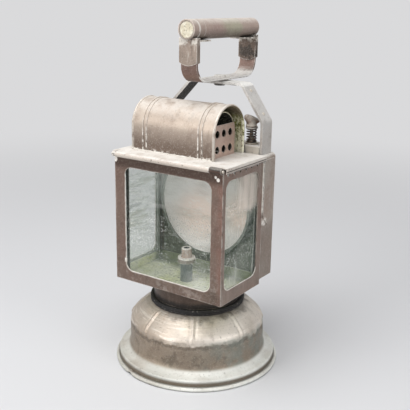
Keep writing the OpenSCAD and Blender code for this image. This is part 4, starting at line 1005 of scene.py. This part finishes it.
def base_bell():
    """The pressed bell: its profile turned round the axis. Each point is set off along the profile's
    normal by the stamped ribs, each with a groove on both sides, by wrinkles and a fold round the
    shoulder's edge, and by dents, each a bell-shaped hollow with an angle, height, reach and depth. The
    inside follows at the sheet's thickness, with a third of the rows."""
    line = bell_profile()
    radius, height = line.T[:, None]
    out_r, out_z = outward(line).T[:, None]
    turn = around(BELL_TURNS)[:, None]
    spread = (turn - RIB_START) % RIB_STEP
    spread = np.minimum(spread, RIB_STEP - spread) * radius
    on_cone = np.clip((height - RIB_LOW_Z) / 3.0, 0, 1) * np.clip((radius - RIB_INNER_R) / 2.0, 0, 1)
    grooves = GROOVE_DEEP * swell(spread - GROOVE_AWAY, GROOVE_WIDE)
    ribs = (RIB_HIGH * swell(spread, RIB_WIDE) - grooves) * on_cone
    scallop = np.abs(np.sin(15.5 * turn + 1.3 * np.sin(4 * turn) + 0.7 * np.sin(7 * turn)))
    waves = np.sin(9 * turn)
    wrinkles = swell(height - RIDGE_Z, 3.2) * (0.95 * (1 - scallop) ** 2 + 0.25 * waves ** 2)
    fold = 0.3 * swell(height - FOLD_Z - 0.8 * scallop, 1.2) * (0.6 + 0.4 * waves)
    shift = ribs - wrinkles + fold
    for at, level, reach, depth in BELL_DENTS:
        bend = (turn - np.radians(at) + np.pi) % FULL - np.pi
        shift = shift - depth * swell(np.hypot(bend * radius, DENT_SQUASH * (height - level)), reach)

    def wall(offset):
        return polar(radius + out_r * (shift + offset), turn, height + out_z * (shift + offset))

    return np.concatenate([wall(0.0), wall(-SHEET)[:, ::-3]], 1)


def rim_roll():
    """The rolled rim: a round bead carried round the skirt's foot, its underside flat on the ground, and
    its thickness a little uneven along the way, with one knock that has bent it inwards."""
    turn = around(ROLL_TURNS)[:, None]
    lap = around(ROLL_LAPS)[None]
    thick = ROLL_THICK + 0.06 * np.sin(7 * turn + 1.0) + 0.04 * np.sin(17 * turn)
    knock = swell(turn - KNOCK, 0.045)
    radius = ROLL_R - knock + thick * np.cos(lap)
    return polar(radius, turn, np.maximum(FOOT_Z + 0.8 * knock + thick * np.sin(lap), 0.0))


place("base_bell", base_bell(), "base", base_brass, ["base_shell"], CLOSED)
place("rim_roll", rim_roll(), "base", base_brass, wrap=CLOSED)

SEAL_LOW, SEAL_HIGH, SEAL_R, SEAL_BORE = 59.6, 64.4, 46.1, 40.3
SEAL_THICK, SEAL_RIDGES = 5.0, 3
SEAL_ROWS, SEAL_TURNS = 36, 240


def seal_band():
    """The rubber ring: a turned profile with three soft ridges on its outside, rounded edges, and a radius
    that is a little uneven round the ring."""
    height = np.linspace(SEAL_LOW, SEAL_HIGH, SEAL_ROWS)
    ridges = 0.7 * (0.5 - 0.5 * np.cos((height - DECK_Z) / SEAL_THICK * SEAL_RIDGES * FULL))
    rounding = 1.4 * np.clip((np.abs(height - DECK_Z - SEAL_THICK / 2) - 2.0) / 0.5, 0, 1) ** 2
    outer = np.stack([SEAL_R - ridges - rounding, height], -1)
    inner = np.array([[SEAL_BORE, SEAL_HIGH], [SEAL_BORE, SEAL_LOW]])
    points = turned(np.concatenate([outer, inner]), SEAL_TURNS)
    turn = around(SEAL_TURNS)[:, None, None]
    points[:, :SEAL_ROWS, :2] *= 1 - 0.006 * (0.5 + 0.5 * np.sin(31 * turn + 2 * np.sin(7 * turn)))
    return points


place("seal_band", seal_band(), "seal", seal_rubber, ["seal_ring"], CLOSED)


# Valve

VALVE_X, VALVE_Y = 40.0, 26.3
SPRING_LOW, SPRING_RISE, SPRING_R, WIRE_R = 215.7, 11.7, 4.25, 0.6
SPRING_TURNS, FLAT_TURN, SPRING_STEPS = 6.4, 0.8, 400
KNOB_LOW, KNOB_FACING = 229.2, np.radians(34.0)
KNOB_SQUASH, KNOB_LEAN, KNOB_SLANT = 0.88, 0.7, 0.34
KNOB_ROWS, KNOB_LAPS = 64, 72


def coil():
    """The valve spring: a round wire carried along a helix that starts and ends in a flat turn. Height
    rises evenly with the turn between the two flat turns."""
    turn = np.linspace(0, SPRING_TURNS * FULL, SPRING_STEPS)
    share = np.clip((turn / FULL - FLAT_TURN) / (SPRING_TURNS - 2 * FLAT_TURN), 0, 1)
    radius = SPRING_R + 0.05 * np.sin(3.1 * turn)
    path = np.stack([VALVE_X + radius * np.cos(turn), VALVE_Y + radius * np.sin(turn),
                     SPRING_LOW + SPRING_RISE * share], -1)
    return capped(carried(path, ring(WIRE_R, WIRE_LAPS)))


spring = place("spring_coil", coil(), None, valve_wire, ["valve_spring"])
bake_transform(spring)


def thumb_knob():
    """The cast thumb knob: upright ellipses from a round foot over a waist to a flat rounded head. The
    half width and half depth at each height are curves through a few sizes, smoothed over neighbouring
    heights; the head is turned to face the front corner, leans and slants down to one side, and lumps of
    the casting swell and pinch it."""
    level = np.array([0.0, 0.35, 1.6, 2.8, 4.2, 6.0, 8.0, 9.6, 10.8, 11.5, 11.8])
    width = np.array([4.6, 5.5, 5.4, 4.8, 5.3, 6.8, 7.3, 6.7, 5.2, 3.0, 0.0])
    depth = np.array([4.6, 5.5, 5.3, 4.3, 3.7, 3.4, 3.2, 2.9, 2.4, 1.6, 0.0])
    high = np.sin(np.linspace(0, 1, KNOB_ROWS) * np.pi / 2)[:, None]
    height = high * level[-1]

    def half(sizes):
        curve = np.interp(height[:, 0], level, sizes)
        for _ in range(3):
            curve[1:-1] = np.convolve(curve, (0.25, 0.5, 0.25), "same")[1:-1]
        return curve[:, None]

    lap = around(KNOB_LAPS)[None]
    lumps = 1 - 0.07 * (0.5 + 0.5 * np.sin(5 * lap + height)) - 0.05 * np.sin(3 * lap + 9 * high)
    side = half(width) * np.cos(lap) * lumps - KNOB_LEAN * high ** 2
    front = half(depth) * np.sin(lap) * lumps
    x = VALVE_X + side * np.cos(KNOB_FACING) - front * np.sin(KNOB_FACING)
    y = VALVE_Y + side * np.sin(KNOB_FACING) + front * np.cos(KNOB_FACING)
    z = KNOB_LOW + KNOB_SQUASH * height - KNOB_SLANT * side * high ** 1.5
    return capped(np.stack([x, y, z], -1))


place("thumb_knob", thumb_knob(), "valve", knob_brass, ["valve_knob"])


# Reflector

MIRROR_R, MIRROR_DEEP, MIRROR_BACK_Y = 50.0, 6.0, 15.9
MIRROR_RINGS, MIRROR_TURNS = 60, 160
MIRROR_DENTS = [(-14.0, 160.0, 14.0, 0.5), (20.0, 138.0, 12.0, 0.5), (8.0, 176.0, 10.0, 0.4),
                (-24.0, 130.0, 10.0, 0.4)]


def mirror_dish():
    """The reflector: a bowl whose depth grows with the square of the radius, dented by shallow bell-shaped
    hollows, each with a place, reach and depth, that run out towards the rim, and a back at the sheet's
    thickness."""
    radius = np.linspace(0, MIRROR_R, MIRROR_RINGS)[None]
    turn = around(MIRROR_TURNS)[:, None]
    x = radius * np.cos(turn)
    z = MIRROR_Z + radius * np.sin(turn)
    bowl = MIRROR_DEEP * (radius / MIRROR_R) ** 2 + 0 * turn
    dents = sum(deep * swell(np.hypot(x - at_x, z - at_z), reach) for at_x, at_z, reach, deep in MIRROR_DENTS)
    front = np.stack([x, MIRROR_BACK_Y - SHEET - bowl + dents * (1 - radius / MIRROR_R), z], -1)
    back = np.stack([x, MIRROR_BACK_Y - bowl, z], -1)
    return np.concatenate([front, back[:, ::-1]], 1)


place("mirror_dish", mirror_dish(), "lantern", silvered, ["reflector"], OPEN_SIDES)


# Small parts of the lantern

WINDOW_CORNER = 8.0
STRIP_STEPS, BEAD_STEPS = 30, 240
STUD_RINGS, STUD_LAPS = 10, 28


def strip(x, y, low, high, half_width, half_depth):
    """A narrow upright strip: an outline with rounded corners carried straight up."""
    path = np.linspace((x, y, low), (x, y, high), STRIP_STEPS)
    outline = rounded_bar(half_width, half_depth, 0.8 * min(half_width, half_depth))
    return capped(carried(path, outline, ALONG_Y))


def solder(line, up, thick, ripple):
    """A bead of solder along a line of points: a round section carried along it, swelling and thinning as
    a sum of three waves, and running out to nothing at both ends."""
    share = np.linspace(0, 1, BEAD_STEPS)
    phase = share * ripple
    waves = np.sin(phase) + 0.6 * np.sin(2.3 * phase + 1.0) + 0.4 * np.sin(5.1 * phase)
    ends = np.clip(np.minimum(share, 1 - share) / 0.03, 0, 1) ** 0.5
    path = resampled(np.array(line, float), BEAD_STEPS)
    return capped(carried(path, ring(thick, WIRE_LAPS), up, (0.85 + 0.16 * waves) * ends + 0.02))


def window_foot(left, right, low, top):
    """The lower edge of a window in its own plane: down its left side, round both corners and along the
    sill, as straight lines between two quarter arcs."""
    near, far, middle = left + WINDOW_CORNER, right - WINDOW_CORNER, low + WINDOW_CORNER
    return np.concatenate([[(left, top)], arc((near, middle), WINDOW_CORNER, 180, 270, 12),
                           arc((far, middle), WINDOW_CORNER, 270, 360, 12)])


def stud(middle, facing, radius, rise):
    """A flat domed rivet head: rings that shrink towards the top as a quarter ellipse, square to facing,
    over a foot that is sunk a little."""
    out = np.array(facing, float) / np.linalg.norm(facing)
    first = np.cross(out, ALONG_Y)
    first /= np.linalg.norm(first)
    second = np.cross(out, first)
    slope = np.linspace(0, np.pi / 2, STUD_RINGS)[:, None, None]
    lap = around(STUD_LAPS)[None, :, None]
    across = radius * np.cos(slope) * (np.cos(lap) * first + np.sin(lap) * second)
    rows = np.array(middle) + across + rise * np.sin(slope) * out
    return capped(np.concatenate([rows[:1] - 0.3 * out, rows]))


# the strips along the window's side edges stand in for the pane clips and are near black as painted shade in
# the gaps there
STRIP_X, STRIP_Y, STRIP_LOW, STRIP_HIGH = 47.6, -47.2, 92.0, 193.0
for name, x, nodes in (("pane_strip_left", -STRIP_X, ["pane_clips"]), ("pane_strip_right", STRIP_X, ())):
    bar = strip(x, STRIP_Y, STRIP_LOW, STRIP_HIGH, half_width=1.6, half_depth=0.45)
    place(name, bar, "door", shade_strip, nodes)
tab = strip(-STRIP_X, -50.9, low=100.6, high=104.4, half_width=1.3, half_depth=0.35)
place("pane_tab", tab, "door", solder_crust)

PUTTY_Y, SILL_X = -50.1, 59.2
front_foot = window_foot(left=-47.8, right=47.8, low=92.2, top=187.0)
putty = solder(np.insert(front_foot, 1, PUTTY_Y, axis=1), ALONG_Y, thick=0.48, ripple=160.0)
place("pane_putty", putty, "door", solder_crust)

HOOD_LEFT, HOOD_RIGHT, HOOD_FRONT, HOOD_BACK, ROOF_Z = -51.0, 37.9, -34.4, 14.8, 206.8
SEAM_X, SEAM_Y, SEAM_LOW, SEAM_HIGH = 59.5, 16.3, 152.0, 204.5
side_foot = window_foot(left=-45.5, right=8.6, low=94.2, top=103.0)
beads = {
    "sill_solder_left": (np.insert(side_foot, 0, -SILL_X, axis=1), ALONG_X, 0.5, 90.0),
    "sill_solder_right": (np.insert(side_foot, 0, SILL_X, axis=1), ALONG_X, 0.5, 90.0),
    "hood_solder_front": ([(HOOD_LEFT, HOOD_FRONT, ROOF_Z), (HOOD_RIGHT, HOOD_FRONT, ROOF_Z)],
                          ALONG_Z, 0.9, 61.0),
    "hood_solder_back": ([(HOOD_LEFT, HOOD_BACK, ROOF_Z), (HOOD_RIGHT, HOOD_BACK, ROOF_Z)],
                         ALONG_Z, 0.9, 47.0),
    "seam_solder_left": ([(-SEAM_X, SEAM_Y, SEAM_LOW), (-SEAM_X, SEAM_Y, SEAM_HIGH)], ALONG_X, 1.05, 38.0),
    "seam_solder_right": ([(SEAM_X, SEAM_Y, SEAM_LOW), (SEAM_X, SEAM_Y, SEAM_HIGH)], ALONG_X, 1.05, 38.0),
}
for name, (line, up, thick, ripple) in beads.items():
    place(name, solder(line, up, thick, ripple), "lantern", solder_crust)

LEG_FOOT = np.array([56.1, 26.0, 236.4])
LEG_TOP = np.array([34.1, 26.0, 268.0])
LEG_OUT = (0.82, 0.0, 0.57)
for name, share in (("leg_stud_low", 0.19), ("leg_stud_high", 0.82)):
    middle = LEG_FOOT * (1 - share) + LEG_TOP * share
    place(name, stud(middle, LEG_OUT, radius=1.7, rise=0.7), "lantern", bright_brass)


# Studio

FLOOR_R, FLOOR_RINGS, FLOOR_TURNS = 6000.0, 24, 96
BACKDROP = (0.7, 0.7, 0.71)
AMBIENT = (0.3, 0.305, 0.315)
TARGET = Vector((0, 0, 0.15))


def floor_disc():
    """The floor: a flat disc of rings round the lamp's foot."""
    radius = np.linspace(0, FLOOR_R, FLOOR_RINGS)
    return turned(np.stack([radius, 0 * radius], -1), FLOOR_TURNS)


def studio_floor():
    """Pale matt floor that fades into the pale background far away."""
    f = Finish("studio_floor")
    far = f.node("VectorMath", {"operation": "LENGTH"}, {0: f.place}, out="Value")
    seen = f.node("LightPath", out="Is Camera Ray")
    matt = f.node("BsdfPrincipled", {}, {"Base Color": BACKDROP, "Roughness": 0.75})
    glow = f.node("Emission", {}, {"Color": BACKDROP})
    both = f.node("MixShader", {}, {0: far.step(0.25, 1.3) * seen, 1: matt, 2: glow})
    f.node("OutputMaterial", {}, {"Surface": both})
    return f.owner


def studio_world():
    """Soft grey light all round, and the pale backdrop where the camera, a gloss or a pane looks at it."""
    f = Finish("studio", bpy.data.worlds)
    seen = f.node("LightPath", out="Is Camera Ray").most(f.node("LightPath", out="Is Glossy Ray"))
    seen = seen.most(f.node("LightPath", out="Is Transmission Ray"))
    lit = f.node("Background", {}, {"Color": AMBIENT})
    shown = f.node("Background", {}, {"Color": BACKDROP})
    both = f.node("MixShader", {}, {0: seen, 1: lit, 2: shown})
    f.node("OutputWorld", {}, {"Surface": both})
    return f.owner


def soft_light(name, spot, size, power):
    """A square soft light at a spot, turned towards the lamp. Places in metres."""
    lamp = bpy.data.lights.new(name, "AREA")
    lamp.shape = "SQUARE"
    lamp.size = size
    lamp.energy = power
    holder = added(name, lamp)
    holder.location = spot
    holder.rotation_euler = (TARGET - Vector(spot)).to_track_quat("-Z", "Y").to_euler()


floor = added("floor", new_mesh("floor", floor_disc(), OPEN_SIDES))
floor.data.materials.append(studio_floor())
scene.world = studio_world()
soft_light("overhead", (-0.1, -0.45, 1.45), size=1.2, power=17.5)
soft_light("front_left", (-0.55, -1.6, 0.72), size=0.9, power=11.0)
soft_light("right", (1.6, -0.1, 0.6), size=0.9, power=6.0)

view = bpy.data.cameras.new("camera")
view.sensor_fit = "HORIZONTAL"
view.sensor_width = 36.0
view.lens = 62.46
view.clip_end = 50.0
camera = added("camera", view)
right = Vector((0.82459, 0.56550, 0.01592))
up = Vector((-0.16968, 0.22038, 0.96054))
back = Vector((0.53968, -0.79476, 0.27768))
stand = Vector((0.36958, -0.53361, 0.34104))
camera.matrix_world = Matrix.Translation(stand) @ Matrix((right, up, back)).transposed().to_4x4()
scene.camera = camera
scene.view_settings.view_transform = "Standard"
